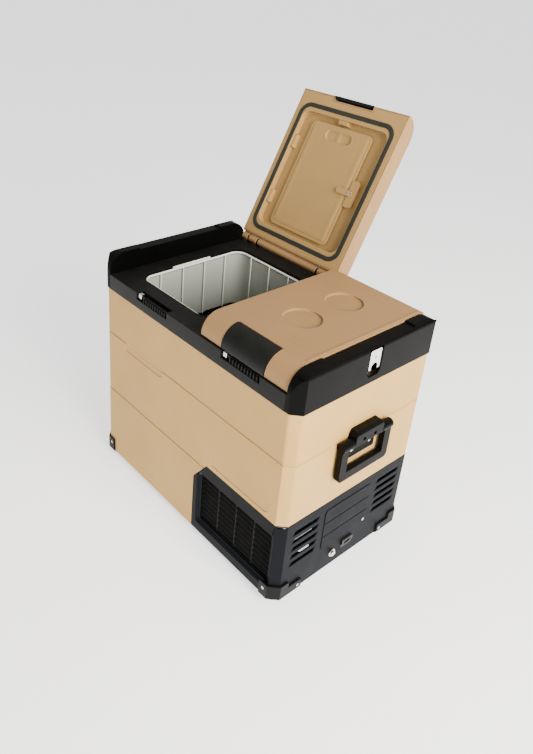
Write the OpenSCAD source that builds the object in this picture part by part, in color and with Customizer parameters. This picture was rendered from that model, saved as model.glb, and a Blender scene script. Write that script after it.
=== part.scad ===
// Two-compartment compressor cooler fridge, 12/24 V, with two lids hinged on the back.
// Millimetres. +X runs to the machine end, +Z up, -Y is the front.
// The origin is the centre of the footprint, on the ground under the rubber feet.

/* [Cabinet] */
// Length of the cabinet, along X
body_l = 600; // [560:5:720]
// Depth of the cabinet, along Y
body_d = 384; // [340:4:440]
// Height of the tan cabinet wall, from its bottom edge to the black rim
cabinet_h = 443; // [400:1:540]
// Ground clearance under the cabinet
base_z = 18; // [14:1:30]
// Thickness of the outer shell and of the black housings
shell_t = 3; // [2:0.5:4]
// Width of the flat cut on each upright corner, measured along a side
corner_cut = 17; // [10:1:26]
// Depth of the pressed grooves in the shell
groove_t = 1.4; // [0.8:0.1:1.8]

/* [Machine bay] */
// Length of the bay under the right-hand compartment
bay_l = 258; // [250:2:290]
// Height of the bay above the cabinet's bottom edge
bay_h = 190; // [180:1:220]
// Length and height of the slanted upper corner of the bay
bay_slant = [39, 51];
// Gap between the tan shell and the black housing
shell_gap = 0.6; // [0.3:0.1:1.2]

/* [Rim and caps] */
// Height of the black rim and of its rails
rim_h = 35; // [30:1:44]
// How far the rim and the end caps stand proud of the shell
rim_proud = 2; // [1:0.5:4]
// Length of each end cap along X, inside the shell's end face
cap_w = 27; // [22:1:34]
// Height of the rail deck plate
deck_t = 4; // [3:0.5:6]
// Width of each latch pocket in the front rail
pocket_w = 104; // [90:2:110]
// Diameter of the steel striker rod in each latch pocket
striker_d = 5; // [4:0.5:6]

/* [Lids] */
// Height from the rail deck to the top of a closed lid
lid_rise = 44; // [40:1:52]
// Place along X of the middle of the gap between the lids
split_x = 38; // [20:1:46]
// Gap between the two lids
lid_gap = 3; // [2:0.5:6]
// Gap between a lid and the end cap beside it
cap_gap = 1.5; // [1:0.25:3]
// Gap under the closed lids
lid_seat = 2; // [1.5:0.25:3]
// Radius of the rolled front edge of the lids
roll_r = 40; // [32:1:41]
// Thickness of the lid skins
lid_t = 3; // [2.5:0.5:4]
// Distance from the cabinet's back to the back edge of the lids
lid_back = 14; // [13:1:20]
// Distance from the cabinet's back to the hinge axis
hinge_in = 2; // [1:0.5:4]
// Height of the hinge axis above the rail deck
hinge_rise = 10.5; // [10:0.5:14]
// Diameter of the hinge pins
hinge_pin_d = 6; // [5:0.5:7]
// Angle at which an open lid leans on its stop
lid_open = 117; // [95:1:120]
// Width of the latch paddles
paddle_w = 114; // [100:2:120]
// Diameter of the cup recesses in the right-hand lid
cup_d = 76; // [68:1:84]
// Distance between the centres of the two cup recesses
cup_pitch = 117; // [100:1:130]

/* [Compartments] */
// Insulated wall at each end, at the compartment openings
end_wall = 67; // [60:1:76]
// Insulated wall at the front and back
long_wall = 47; // [42:1:56]
// Half the thickness of the insulated wall between the compartments
divider_half = 41; // [36:1:50]
// Foam under the compartment floors
floor_foam = 44; // [36:1:56]
// Thickness of the inner liners
liner_t = 1.5; // [1.2:0.1:2.5]
// Radius of the liners' upright corners
liner_r = 30; // [22:1:36]
// Diameter of the basket's rim wire
rim_wire = 5; // [4:0.5:6]
// Diameter of the basket's upright wires
thin_wire = 2.6; // [2:0.2:3.4]
// Target spacing of the basket's upright wires
wire_pitch = 32; // [26:1:44]

/* [Handles] */
// Outside width of a handle's bail
bail_w = 142; // [130:2:170]
// Distance from the pivot down to the bottom of the bail
bail_drop = 79; // [68:1:90]
// Height of the pivot above the cabinet's bottom edge
bail_pivot_up = 329; // [310:1:340]
// Diameter of the handle pins
handle_pin_d = 7; // [6:0.5:8]

/* [Feet] */
// Length of each corner guard along the end of the cabinet
guard_l = 74; // [60:1:84]
// Height of each corner guard at its corner
guard_h = 46; // [40:1:56]
// Thickness of the corner guards outside the shell
guard_t = 4; // [3:0.5:6]
// Height of the rubber feet
foot_h = 8; // [6:0.5:10]

/* [Cooling machine] */
// Radius of the compressor's can
compressor_r = 56; // [48:1:60]
// Radius of the fan's blades
fan_r = 50; // [40:1:55]
// Number of fan blades
fan_blades = 7; // [5:1:11]

/* [Hidden] */

$fn = 64;
eps = 0.01;
far = 1000;

TAN = [0.70, 0.59, 0.42];
TAN_LID = [0.68, 0.56, 0.41];
TAN_INNER = [0.72, 0.61, 0.42];
BLACK = [0.10, 0.10, 0.11];
SLATE = [0.17, 0.18, 0.19];
LINER = [0.70, 0.72, 0.68];
WHITE = [0.92, 0.92, 0.90];
STEEL = [0.80, 0.80, 0.82];
COPPER = [0.75, 0.45, 0.30];
FOAM = [0.93, 0.88, 0.70];
RUBBER = [0.06, 0.06, 0.06];

half_l = body_l / 2;
half_d = body_d / 2;
rim_z = base_z + cabinet_h;
rail_z = rim_z + rim_h;
lid_z = rail_z + lid_seat;
lid_top = rail_z + lid_rise;
cap_z = lid_top + 1;
cap_mid_z = lid_top - 2.5;
cap_x = half_l - cap_w;
bay_x = half_l - bay_l;
bay_top = base_z + bay_h;
pan_t = 3;

// Lids: X ranges, front and back edges, hinge axis
lid_x = [[-cap_x + cap_gap, split_x - lid_gap / 2], [split_x + lid_gap / 2, cap_x - cap_gap]];
lid_y = [-half_d + 2, half_d - lid_back];
hinge_y = half_d - hinge_in;
hinge_z = rail_z + hinge_rise;
hinge_play = 0.05;
knuckle_r = hinge_pin_d / 2 + 3.5;
knuckle_l = 26;
barrel_r = 8;
ear_t = 5;
ear_gap = 0.5;

// Compartment openings in the deck: X ranges and Y range
open_x = [[-half_l + end_wall, split_x - divider_half], [split_x + divider_half, half_l - end_wall]];
open_y = [-half_d + long_wall, half_d - long_wall];
floor_z = [base_z + pan_t + floor_foam, bay_top + shell_t + floor_foam];
ledge_w = 4;
ledge_z = rail_z - 9;
ledge_t = 2;
ledge_wall = 2.5;
seal_out = [24.5, 16.5];
seal_w = 10;
seal_h = 2.9;

// Lid inner tray, seen from below the closed lid
tray_out = [12, -3];
tray_t = 2;
tray_up = 15;
store_up = 13;
door_t = 3;
door_x = [open_x[0][0] + 20, open_x[0][1] - 29];
door_y = [open_y[0] + 18, open_y[1] - 11];
door_z = lid_z + tray_up - door_t - 4;
turn_at = [open_x[0][1] - 23, (open_y[0] + open_y[1]) / 2 + 6];
turn_l = 37;
turn_w = 13;
turn_t = 4;
turn_screw_d = 4;

// Latch: the paddle follows the rolled edge about roll_c
roll_c = [lid_y[0] + roll_r, lid_top - roll_r];
paddle_t = 3.5;
paddle_proud = 1;
paddle_gap = 0.8;
well_t = 10;
latch_pin_d = 4;
latch_c = [roll_c[0] - 3.1, roll_c[1] + roll_r - 4.2];

// Handles
bail_x = half_l + 11;
bail_z = base_z + bail_pivot_up;
bail_t = 13;
hub_d = 20;
grip_h = 20.5;
arm_w = 19;
bracket_w = 80;
bracket_proud = 20.5;
handle_screw_y = 26;
handle_screw_z = bail_z - 28;

// Service cover, sockets and vents on the end of the housing
cover_half = 68;
cover_z = [base_z + 64, base_z + 168];
vent_y = [85, 158];
vent_n = 5;
vent_pitch = 20;
vent_h = 9.5;
vent_z = base_z + 76;
grille_x = [bay_x + 22, half_l - 26];
grille_z = [base_z + 33, base_z + 153];
grille_rows = 9;
grille_cols = 4;
grille_sink = 5;

guard_short = 38;
guard_low = 33;
guard_slope = 12;
guard_screw_d = 7;

fan_at = [bay_x + 92, -half_d + 92, base_z + 92];

// ---------------------------------------------------------------- shared shapes

// Rounded rectangle from two X values and two Y values
module rounded(x, y, r) {
    if (r > 0) {
        translate([x[0] + r, y[0]]) square([x[1] - x[0] - 2 * r, y[1] - y[0]]);
        translate([x[0], y[0] + r]) square([x[1] - x[0], y[1] - y[0] - 2 * r]);
        for (cx = [x[0] + r, x[1] - r], cy = [y[0] + r, y[1] - r])
            translate([cx, cy]) circle(r);
    } else {
        translate([x[0], y[0]]) square([x[1] - x[0], y[1] - y[0]]);
    }
}

// Upright block from X, Y and Z ranges
module slab(x, y, z, r = 0) {
    translate([0, 0, z[0]])
        linear_extrude(z[1] - z[0]) rounded(x, y, r);
}

// Outline given in X and Z, extruded along Y
module along_y(y) {
    translate([0, y[1], 0]) rotate([90, 0, 0])
        linear_extrude(y[1] - y[0]) children();
}

// Outline given in Y and Z, extruded along X
module along_x(x) {
    translate([x[0], 0, 0]) rotate([90, 0, 90])
        linear_extrude(x[1] - x[0]) children();
}

// Cylinder along X or Y
module rod_x(x, y, z, d) {
    translate([x[0], y, z]) rotate([0, 90, 0]) cylinder(d = d, h = x[1] - x[0]);
}
module rod_y(x, y, z, d) {
    translate([x, y[1], z]) rotate([90, 0, 0]) cylinder(d = d, h = y[1] - y[0]);
}

// Footprint with cut corners
module plan(grow = 0) {
    l = half_l + grow;
    d = half_d + grow;
    c = corner_cut + grow * 0.586;
    polygon([[l - c, -d], [l, -d + c], [l, d - c], [l - c, d],
             [-l + c, d], [-l, d - c], [-l, -d + c], [-l + c, -d]]);
}
module prism(z, grow = 0) {
    translate([0, 0, z[0]]) linear_extrude(z[1] - z[0]) plan(grow);
}

// Side outline of the machine bay, in X and Z
module bay_outline(grow = 0) {
    offset(delta = grow)
        polygon([[bay_x, base_z - 60], [bay_x, bay_top - bay_slant[1]],
                 [bay_x + bay_slant[0], bay_top], [far, bay_top], [far, base_z - 60]]);
}

// A countersunk screw head with a short shank, axis +Z, head top at z = 0
module screw(head_d, shank_l) {
    difference() {
        union() {
            translate([0, 0, -head_d * 0.3]) cylinder(d = head_d, h = head_d * 0.3);
            translate([0, 0, -shank_l]) cylinder(d = head_d * 0.45, h = shank_l);
        }
        for (a = [0, 90])
            rotate([0, 0, a]) translate([-head_d * 0.3, -head_d * 0.06, -head_d * 0.12])
                cube([head_d * 0.6, head_d * 0.12, head_d]);
    }
}

// Children turned about the hinge axis to the open position
module opened() {
    translate([0, hinge_y, hinge_z]) rotate([-lid_open, 0, 0])
        translate([0, -hinge_y, -hinge_z]) children();
}

function mid(v) = (v[0] + v[1]) / 2;
function grown(v, g) = [v[0] - g, v[1] + g];

// ---------------------------------------------------------------- cabinet

module groove_ring(z, h) {
    difference() {
        prism([z, z + h], 5);
        prism([z - 1, z + h + 1], -groove_t);
    }
}

// A long shallow dish with round ends, pressed into the front and back
module dish(x, z) {
    for (y = [[-half_d - 5, -half_d + groove_t], [half_d - groove_t, half_d + 5]])
        along_y(y) rounded(x, z, (z[1] - z[0]) / 2 - 0.5);
}

module cabinet_shell() {
    color(TAN) difference() {
        prism([base_z, rim_z]);
        prism([base_z - 1, rim_z + 1], -shell_t);
        along_y([-far, far]) bay_outline(shell_gap);
        groove_ring(rim_z - 112, 5);
        groove_ring(bay_top - 12, 5);
        dish([-half_l + 84, -half_l + 223], [rim_z - 129, rim_z - 103]);
        dish([bay_x + 51, half_l - 39], [bay_top + 11, bay_top + 39]);
    }
}

module bay_bulkhead() {
    color(SLATE) intersection() {
        prism([base_z + pan_t, rim_z], -shell_t);
        along_y([-far, far]) difference() {
            bay_outline(-shell_t);
            bay_outline(-2 * shell_t);
        }
        translate([-far, -far, 0]) cube([far + half_l, 2 * far, bay_top]);
    }
}

module base_pan() {
    color(SLATE) {
        difference() {
            prism([base_z, base_z + pan_t], -shell_t);
            for (i = [0:5])
                slab([bay_x + 40 + i * 30, bay_x + 50 + i * 30], [-60, 60],
                     [base_z - 1, base_z + pan_t + 1], 4.9);
        }
        for (y = [-half_d + 30, half_d - 36])
            slab([-half_l + guard_short + 10, bay_x - 10], [y, y + 6], [base_z - 6, base_z]);
    }
}

// Solid space that a liner takes, with its evaporator tubes
module liner_space(i) {
    slab(grown(open_x[i], ledge_wall), grown(open_y, ledge_wall),
         [ledge_z - ledge_t - liner_t, rail_z], liner_r + ledge_wall);
    slab(grown(open_x[i], liner_t - ledge_w), grown(open_y, liner_t - ledge_w),
         [floor_z[i] - liner_t, rail_z], liner_r + liner_t - ledge_w);
    slab(grown(open_x[i], 9), grown(open_y, 9),
         [tube_z(i, 0) - 6, tube_z(i, tube_n - 1) + 6], liner_r + 9);
}

module insulation_foam() {
    color(FOAM) difference() {
        prism([base_z + pan_t, rail_z - deck_t], -shell_t);
        for (x = [[-far, -cap_x + shell_t], [cap_x - shell_t, far]])
            slab(x, [-far, far], [rim_z - eps, far]);
        along_y([-far, far]) bay_outline(0);
        for (i = [0, 1]) liner_space(i);
        for (i = [0, 1]) pocket_block(i, 1);
    }
}

// ---------------------------------------------------------------- rim and caps

module pocket_block(i, grow) {
    m = mid(lid_x[i]);
    slab([m - pocket_w / 2 - 3 - grow, m + pocket_w / 2 + 3 + grow],
         [-half_d - rim_proud, -half_d + 17 + grow],
         [rail_z - 18 - grow, rail_z], 0);
}

module striker_bore(i, d) {
    m = mid(lid_x[i]);
    rod_x([m - pocket_w / 2 - 2.5, m + pocket_w / 2 + 2.5], -half_d + 6, rail_z - 7, d);
}

module top_rim() {
    color(BLACK) difference() {
        union() {
            difference() {
                slab([-cap_x, cap_x], grown([-half_d, half_d], rim_proud), [rim_z, rail_z]);
                slab([-cap_x + shell_t, cap_x - shell_t], [-half_d + shell_t, half_d - shell_t],
                     [rim_z - 1, rail_z - deck_t]);
            }
            for (i = [0, 1]) pocket_block(i, 0);
            // round each opening: a lip that the gasket meets, a short wall and the basket's ledge
            for (i = [0, 1])
                slab(grown(open_x[i], ledge_wall), grown(open_y, ledge_wall),
                     [ledge_z - ledge_t, rail_z + 0.8], liner_r + ledge_wall);
        }
        for (i = [0, 1]) {
            m = mid(lid_x[i]);
            slab(open_x[i], open_y, [ledge_z, rail_z + 5], liner_r);
            slab(grown(open_x[i], -ledge_w), grown(open_y, -ledge_w),
                 [rim_z, rail_z], liner_r - ledge_w);
            slab([m - pocket_w / 2, m + pocket_w / 2], [-far, -half_d + 14],
                 [rail_z - 15, rail_z + 5]);
            striker_bore(i, striker_d + 0.1);
            light_lens(i, 0.2);
        }
    }
    // the comb of short ribs on each pocket's floor
    color(BLACK) for (i = [0, 1], k = [0:9])
        slab([mid(lid_x[i]) - pocket_w / 2 + 22 + k * 8, mid(lid_x[i]) - pocket_w / 2 + 26 + k * 8],
             [-half_d - rim_proud + 1, -half_d + 2.8], [rail_z - 15 - eps, rail_z - 5]);
}

// An end cap: the front and back outlines are rounded like the lids
module cap_side() {
    y = half_d + rim_proud;
    difference() {
        union() {
            translate([-y, rim_z]) square([2 * y, cap_z - roll_r - rim_z]);
            translate([-y + roll_r, rim_z]) square([2 * (y - roll_r), cap_z - rim_z]);
            for (s = [-1, 1]) translate([s * (y - roll_r), cap_z - roll_r]) circle(roll_r);
        }
        // the middle of the top is lower than the corners
        translate([-115, cap_mid_z]) square([230, 20]);
    }
}

module cap_front() {
    x = half_l + rim_proud;
    r = 12;
    translate([cap_x, rim_z]) square([x - cap_x, cap_z - r - rim_z]);
    translate([cap_x, rim_z]) square([x - r - cap_x, cap_z - rim_z]);
    translate([x - r, cap_z - r]) circle(r);
}

module end_cap() {
    difference() {
        intersection() {
            along_x([cap_x, half_l + 10]) cap_side();
            along_y([-far, far]) cap_front();
            prism([rim_z, cap_z + 1], rim_proud);
        }
        // hollow from below
        intersection() {
            slab([cap_x + 3, half_l - 2], [-half_d + 4, half_d - 4], [rim_z - 1, cap_mid_z - 16], 0);
            prism([rim_z - 1, cap_z], -2);
        }
    }
}

module opener_recess() {
    along_x([half_l - 12, far])
        polygon([[-17, lid_top - 58], [-12, lid_top - 64], [12, lid_top - 64], [17, lid_top - 58],
                 [19, lid_top - 34], [19, lid_top - 6], [-19, lid_top - 6], [-19, lid_top - 34]]);
}

module end_cap_left() {
    color(BLACK) {
        mirror([1, 0, 0]) end_cap();
        // small stiffening ribs in the front corner beside the lid
        for (k = [0:2])
            slab([-cap_x - eps, -cap_x + 1.2], [-half_d + 14 + k * 9, -half_d + 16 + k * 9],
                 [rail_z + 1, rail_z + 24]);
    }
}
module end_cap_right() {
    color(BLACK) difference() {
        end_cap();
        opener_recess();
        rod_x([half_l - 20, half_l], 0, lid_top - 26, 3.4);
    }
}

module striker_rods() {
    color(STEEL) for (i = [0, 1]) striker_bore(i, striker_d);
}

// A bent plate: a square tongue over the cap's recess, folded back to its screw
module bottle_opener() {
    color(STEEL) difference() {
        along_x([half_l - 12 + eps, half_l + 1.2])
            difference() {
                rounded([-15, 15], [lid_top - 50, lid_top - 9], 3);
                translate([0, lid_top - 46]) circle(9);
            }
        // a hollow behind the tongue takes the bottle cap's edge
        slab([half_l - 9, half_l - 1], [-30, 30], [lid_top - 60, lid_top - 34]);
        rod_x([half_l - 20, half_l + 5], 0, lid_top - 26, 3.4);
        rod_x([half_l - 0.9, half_l + 5], 0, lid_top - 26, 7.4);
    }
}
module opener_screw() {
    color(STEEL) translate([half_l + 1.2, 0, lid_top - 26]) rotate([0, 90, 0]) {
        translate([0, 0, -2]) cylinder(d = 7, h = 2);
        translate([0, 0, -18]) cylinder(d = 3.3, h = 17);
    }
}

// ---------------------------------------------------------------- compartments

module liner(i) {
    difference() {
        union() {
            slab(grown(open_x[i], liner_t - ledge_w), grown(open_y, liner_t - ledge_w),
                 [floor_z[i] - liner_t, ledge_z - ledge_t], liner_r + liner_t - ledge_w);
            // flange clamped under the rim's ledge
            slab(grown(open_x[i], ledge_wall), grown(open_y, ledge_wall),
                 [ledge_z - ledge_t - liner_t, ledge_z - ledge_t], liner_r + ledge_wall);
        }
        slab(grown(open_x[i], -ledge_w), grown(open_y, -ledge_w),
             [floor_z[i], rail_z], liner_r - ledge_w);
    }
}
module liner_left() { color(LINER) liner(0); }
module liner_right() { color(LINER) liner(1); }

// The light sits at the top of the outer end wall of each compartment
lens_half = [54, 40];
lens_proud = 0.3;
module light_lens(i, grow) {
    x = i == 0 ? [open_x[0][0] - liner_t, open_x[0][0] + lens_proud]
               : [open_x[1][1] - lens_proud, open_x[1][1] + liner_t];
    along_x(grown(x, grow))
        rounded([-lens_half[i] - grow, lens_half[i] + grow],
                [ledge_z + 1.5 - grow, rail_z - 1.5 + grow], 2.5);
}
module light_lenses() {
    color(WHITE) for (i = [0, 1]) light_lens(i, 0);
}

// Evaporator: stacked loops of tube round each liner
tube_d = 6;
tube_n = 4;
function tube_z(i, k) = floor_z[i] + 40 + k * 38;
module loop(x, y, z, r, d) {
    for (yy = y) rod_x([x[0] + r, x[1] - r], yy, z, d);
    for (xx = x) rod_y(xx, [y[0] + r, y[1] - r], z, d);
    corners = [[x[0] + r, y[0] + r, 180], [x[1] - r, y[0] + r, 270],
               [x[1] - r, y[1] - r, 0], [x[0] + r, y[1] - r, 90]];
    for (c = corners)
        translate([c[0], c[1], z]) rotate([0, 0, c[2]])
            rotate_extrude(angle = 90) translate([r, 0]) circle(d = d, $fn = 24);
}
module evaporator_tubes() {
    g = liner_t - ledge_w + tube_d / 2 + 0.5;
    color(COPPER) for (i = [0, 1], k = [0:tube_n - 1])
        loop(grown(open_x[i], g), grown(open_y, g), tube_z(i, k), liner_r, tube_d);
}

// Wire basket that hangs by its rim from the rim's ledge. Each wire is its own solid,
// weld_gap away from the wires that it is welded to
basket_gap = 2.5;
weld_gap = 0.1;
foot_wire = 3.4;
module basket(i) {
    rim_x = grown(open_x[i], -basket_gap - rim_wire / 2);
    rim_y = grown(open_y, -basket_gap - rim_wire / 2);
    rim_up = ledge_z + rim_wire / 2 + 0.3;
    in = (rim_wire + thin_wire) / 2 + weld_gap;
    wall_x = grown(rim_x, -in);
    wall_y = grown(rim_y, -in);
    low = floor_z[i] + 4 + thin_wire / 2;
    foot = low + foot_wire / 2 + weld_gap;
    r = liner_r - 8;
    nx = round((wall_x[1] - wall_x[0] - 2 * r) / wire_pitch);
    ny = round((wall_y[1] - wall_y[0] - 2 * r) / wire_pitch);
    loop(rim_x, rim_y, rim_up, r + in, rim_wire);
    loop(wall_x, wall_y, low, r, foot_wire);
    for (k = [0:nx]) {
        x = wall_x[0] + r + k * (wall_x[1] - wall_x[0] - 2 * r) / nx;
        for (y = wall_y) translate([x, y, foot]) cylinder(d = thin_wire, h = rim_up - foot, $fn = 16);
        rod_y(x, wall_y, low, thin_wire);
    }
    for (k = [0:ny]) {
        y = wall_y[0] + r + k * (wall_y[1] - wall_y[0] - 2 * r) / ny;
        for (x = wall_x) translate([x, y, foot]) cylinder(d = thin_wire, h = rim_up - foot, $fn = 16);
        rod_x(wall_x, y, low, thin_wire);
    }
}
module basket_left() { color(WHITE) basket(0); }
module basket_right() { color(WHITE) basket(1); }

// ---------------------------------------------------------------- machine housing

module end_vents() {
    lean = 6;
    for (s = [-1, 1], k = [0:vent_n - 1]) {
        z = vent_z + k * vent_pitch;
        a = s > 0 ? vent_y[0] : -vent_y[1];
        b = s > 0 ? vent_y[1] : -vent_y[0];
        along_x([half_l - 20, far])
            polygon([[a, z], [b - lean, z], [b, z + vent_h], [a + lean, z + vent_h]]);
    }
}

// Sloped recess round each side grille; s is the side, -1 front and 1 back
module grille_bevel(s) {
    hull() {
        along_y(grown([s * (half_d + 1), s * (half_d + 1)], 0.5))
            rounded(grown(grille_x, 11), grown(grille_z, 11), 8);
        along_y(grown([s * (half_d - grille_sink), s * (half_d - grille_sink)], 0.5))
            rounded(grown(grille_x, 3), grown(grille_z, 3), 5);
    }
}

module compressor_housing() {
    color(SLATE) difference() {
        union() {
            difference() {
                prism([base_z, bay_top]);
                prism([base_z - 1, bay_top - shell_t], -shell_t);
            }
            // thicker frame behind each side grille
            for (y = [[-half_d + 1, -half_d + 9], [half_d - 9, half_d - 1]])
                intersection() {
                    along_y(y) intersection() {
                        rounded(grown(grille_x, 14), grown(grille_z, 14), 6);
                        bay_outline(-2 * shell_t - 0.2);
                    }
                    prism([base_z, bay_top], -1);
                }
        }
        along_y([-far, far]) difference() {
            translate([-far, -far]) square(2 * far);
            bay_outline(0);
        }
        // the top is closed by the bulkhead
        translate([-far, -half_d + shell_t, bay_top - 2 * shell_t - eps])
            cube([far + half_l - shell_t, body_d - 2 * shell_t, far]);
        for (s = [-1, 1]) grille_bevel(s);
        along_y([-far, far]) rounded(grille_x, grille_z, 4);
        end_vents();
        cover_seat(0.5);
        along_x([half_l - 20, far]) {
            rounded([1, 29], [base_z + 30, base_z + 48], 1);
            translate([-29, base_z + 34]) circle(d = 14.2);
        }
        translate([half_l, cover_half - 8, cover_z[0] + 10]) rotate([0, 90, 0])
            cylinder(d = 3.4, h = 40, center = true);
    }
}

// Slatted grille: a frame, leaning slats and uprights
module grille() {
    t = 3;
    x = grown(grille_x, 1.5);
    z = grown(grille_z, 1.5);
    pitch = (grille_z[1] - grille_z[0]) / grille_rows;
    along_y([0, t]) difference() {
        rounded(x, z, 4);
        rounded(grown(grille_x, -3), grown(grille_z, -3), 2);
    }
    for (k = [1:grille_rows - 1])
        translate([grille_x[0], t / 2, grille_z[0] + k * pitch]) rotate([-35, 0, 0])
            translate([0, -3.2, -1]) cube([grille_x[1] - grille_x[0], 6.4, 2]);
    for (k = [1:grille_cols - 1]) {
        x = grille_x[0] + k * (grille_x[1] - grille_x[0]) / grille_cols;
        slab([x - 1.5, x + 1.5], [-1, t], grille_z);
    }
}
module grille_front() {
    color(BLACK) translate([0, -half_d + grille_sink + 4.5, 0]) grille();
}
module grille_back() {
    color(BLACK) mirror([0, 1, 0]) translate([0, -half_d + grille_sink + 4.5, 0]) grille();
}

module cover_seat(grow) {
    along_x([half_l - 2.2, far])
        rounded(grown([-cover_half, cover_half], grow), grown(cover_z, grow), 8);
}
module service_cover() {
    third = (cover_z[1] - cover_z[0]) / 3;
    color(SLATE) difference() {
        along_x([half_l - 2.2, half_l + 1]) rounded([-cover_half, cover_half], cover_z, 8);
        for (k = [1, 2])
            slab([half_l - 0.4, half_l + 5], [-far, far], [cover_z[0] + k * third - 1, cover_z[0] + k * third + 1]);
        translate([half_l, cover_half - 8, cover_z[0] + 10]) rotate([0, 90, 0]) {
            cylinder(d = 3.4, h = 40, center = true);
            translate([0, 0, -0.4]) cylinder(d = 7.4, h = 10);
        }
    }
}
module housing_screws() {
    color(STEEL) translate([half_l + 1, cover_half - 8, cover_z[0] + 10]) rotate([0, 90, 0]) {
        translate([0, 0, -1.4]) cylinder(d = 7, h = 1.6);
        translate([0, 0, -12]) cylinder(d = 3.3, h = 11);
    }
}

module power_socket() {
    z = base_z + 39;
    color(BLACK) difference() {
        union() {
            slab([half_l - 26, half_l], [1.4, 28.6], [z - 8.6, z + 8.6]);
            slab([half_l, half_l + 4], [-1, 31], [z - 1, z + 11]);
            slab([half_l, half_l + 1], [-1, 31], [z - 11, z + 11]);
        }
        slab([half_l - 20, half_l + 10], [5, 25], [z - 6, z + 6]);
    }
    color(STEEL) for (y = [11, 19])
        slab([half_l - 22, half_l - 6], [y - 1, y + 1], [z - 3, z + 3]);
}
module fuse_holder() {
    color(STEEL) translate([half_l, -29, base_z + 34]) rotate([0, 90, 0]) difference() {
        union() {
            translate([0, 0, -24]) cylinder(d = 14, h = 24.5);
            cylinder(d = 18, h = 2.5);
            cylinder(d = 12, h = 6);
        }
        translate([-5, -0.8, 4.5]) cube([10, 1.6, 4]);
    }
}

// ---------------------------------------------------------------- guards and feet

// Drawn on the +X +Y corner: a long arm on the end of the cabinet, a short one on its side
module corner_guard() {
    difference() {
        intersection() {
            hull() {
                prism([foot_h + guard_slope, base_z + guard_h], guard_t);
                prism([foot_h, foot_h + eps], guard_t - guard_slope);
            }
            union() {
                slab([half_l - guard_short, half_l + 9], [half_d - guard_l, half_d + 9],
                     [foot_h, foot_h + guard_low]);
                slab([half_l - guard_short, half_l + 9], [half_d - guard_short, half_d + 9],
                     [foot_h, foot_h + guard_h]);
            }
        }
        prism([base_z, far], 0.2);
        // hollow behind the outer skin of the long arm
        slab([-far, half_l - 24], [-far, half_d - 46], [-1, base_z + eps]);
        guard_screw_places() translate([0, 0, -2.4]) cylinder(d = guard_screw_d + 0.5, h = 9);
        foot_place() cylinder(d = 8, h = 8);
    }
}
module guard_screw_places() {
    translate([half_l + guard_t, half_d - guard_l + 9, foot_h + 20]) rotate([0, 90, 0]) children();
    translate([half_l - guard_short + 11, half_d + guard_t, foot_h + 32])
        rotate([-90, 0, 0]) children();
}
module foot_place() {
    translate([half_l - 26, half_d - 26, foot_h]) children();
}
module quarter(sx, sy) {
    flip_x = sx < 0 ? 1 : 0;
    flip_y = sy < 0 ? 1 : 0;
    mirror([flip_x, 0, 0]) mirror([0, flip_y, 0]) children();
}
module corner_guard_front_left() { color(BLACK) quarter(-1, -1) corner_guard(); }
module corner_guard_front_right() { color(BLACK) quarter(1, -1) corner_guard(); }
module corner_guard_back_left() { color(BLACK) quarter(-1, 1) corner_guard(); }
module corner_guard_back_right() { color(BLACK) quarter(1, 1) corner_guard(); }
module guard_screws() {
    color(STEEL) for (sx = [-1, 1], sy = [-1, 1])
        quarter(sx, sy) guard_screw_places()
            translate([0, 0, -0.2]) screw(guard_screw_d, 2);
}
module rubber_feet() {
    color(RUBBER) for (sx = [-1, 1], sy = [-1, 1])
        quarter(sx, sy) foot_place() {
            translate([0, 0, -foot_h]) cylinder(d = 26, h = foot_h);
            cylinder(d = 7.8, h = 6);
        }
}

// ---------------------------------------------------------------- carrying handles

// Both are drawn on the +X end; the left ones are mirrored
module handle_bracket() {
    difference() {
        intersection() {
            along_y([-bracket_w / 2, bracket_w / 2]) polygon([
                [half_l, bail_z - 9], [half_l + 16, bail_z - 9],
                [half_l + bracket_proud, bail_z - 4], [half_l + bracket_proud, bail_z + 20],
                [half_l + 15, bail_z + 25], [half_l, bail_z + 25]]);
            along_x([half_l, half_l + 30]) polygon([
                [-bracket_w / 2, bail_z - 9], [bracket_w / 2, bail_z - 9],
                [bracket_w / 2, bail_z + 15], [bracket_w / 2 - 5, bail_z + 25],
                [5 - bracket_w / 2, bail_z + 25], [-bracket_w / 2, bail_z + 15]]);
        }
        for (y = [-15.5, 15.5])
            rod_x([half_l + 9, half_l + 40], y, bail_z + 5, 8);
        for (y = [-bracket_w / 2, bracket_w / 2])
            rod_y(bail_x, grown([y, y], 22), bail_z, handle_pin_d + 0.1);
    }
    // screwed flange below the box
    difference() {
        slab([half_l, half_l + 4], [-bracket_w / 2, bracket_w / 2], [bail_z - 45, bail_z - 9]);
        for (y = [-handle_screw_y, handle_screw_y])
            rod_x([half_l + 1.6, half_l + 40], y, handle_screw_z, 9);
    }
}
module handle_bail() {
    y0 = bracket_w / 2 + 0.6;
    difference() {
        union() {
            for (s = [-1, 1]) {
                rod_y(bail_x, s > 0 ? [y0, bail_w / 2] : [-bail_w / 2, -y0], bail_z, hub_d);
                slab([bail_x - bail_t / 2, bail_x + bail_t / 2],
                     s > 0 ? [bail_w / 2 - arm_w, bail_w / 2] : [-bail_w / 2, -bail_w / 2 + arm_w],
                     [bail_z - bail_drop + grip_h - 8, bail_z]);
            }
            along_x([bail_x - bail_t / 2, bail_x + bail_t / 2])
                rounded([-bail_w / 2, bail_w / 2], [bail_z - bail_drop, bail_z - bail_drop + grip_h], 9);
        }
        for (s = [-1, 1])
            rod_y(bail_x, s > 0 ? [y0 - 1, bail_w / 2 - 6] : [-bail_w / 2 + 6, -y0 + 1],
                  bail_z, handle_pin_d + 0.1);
    }
}
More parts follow.
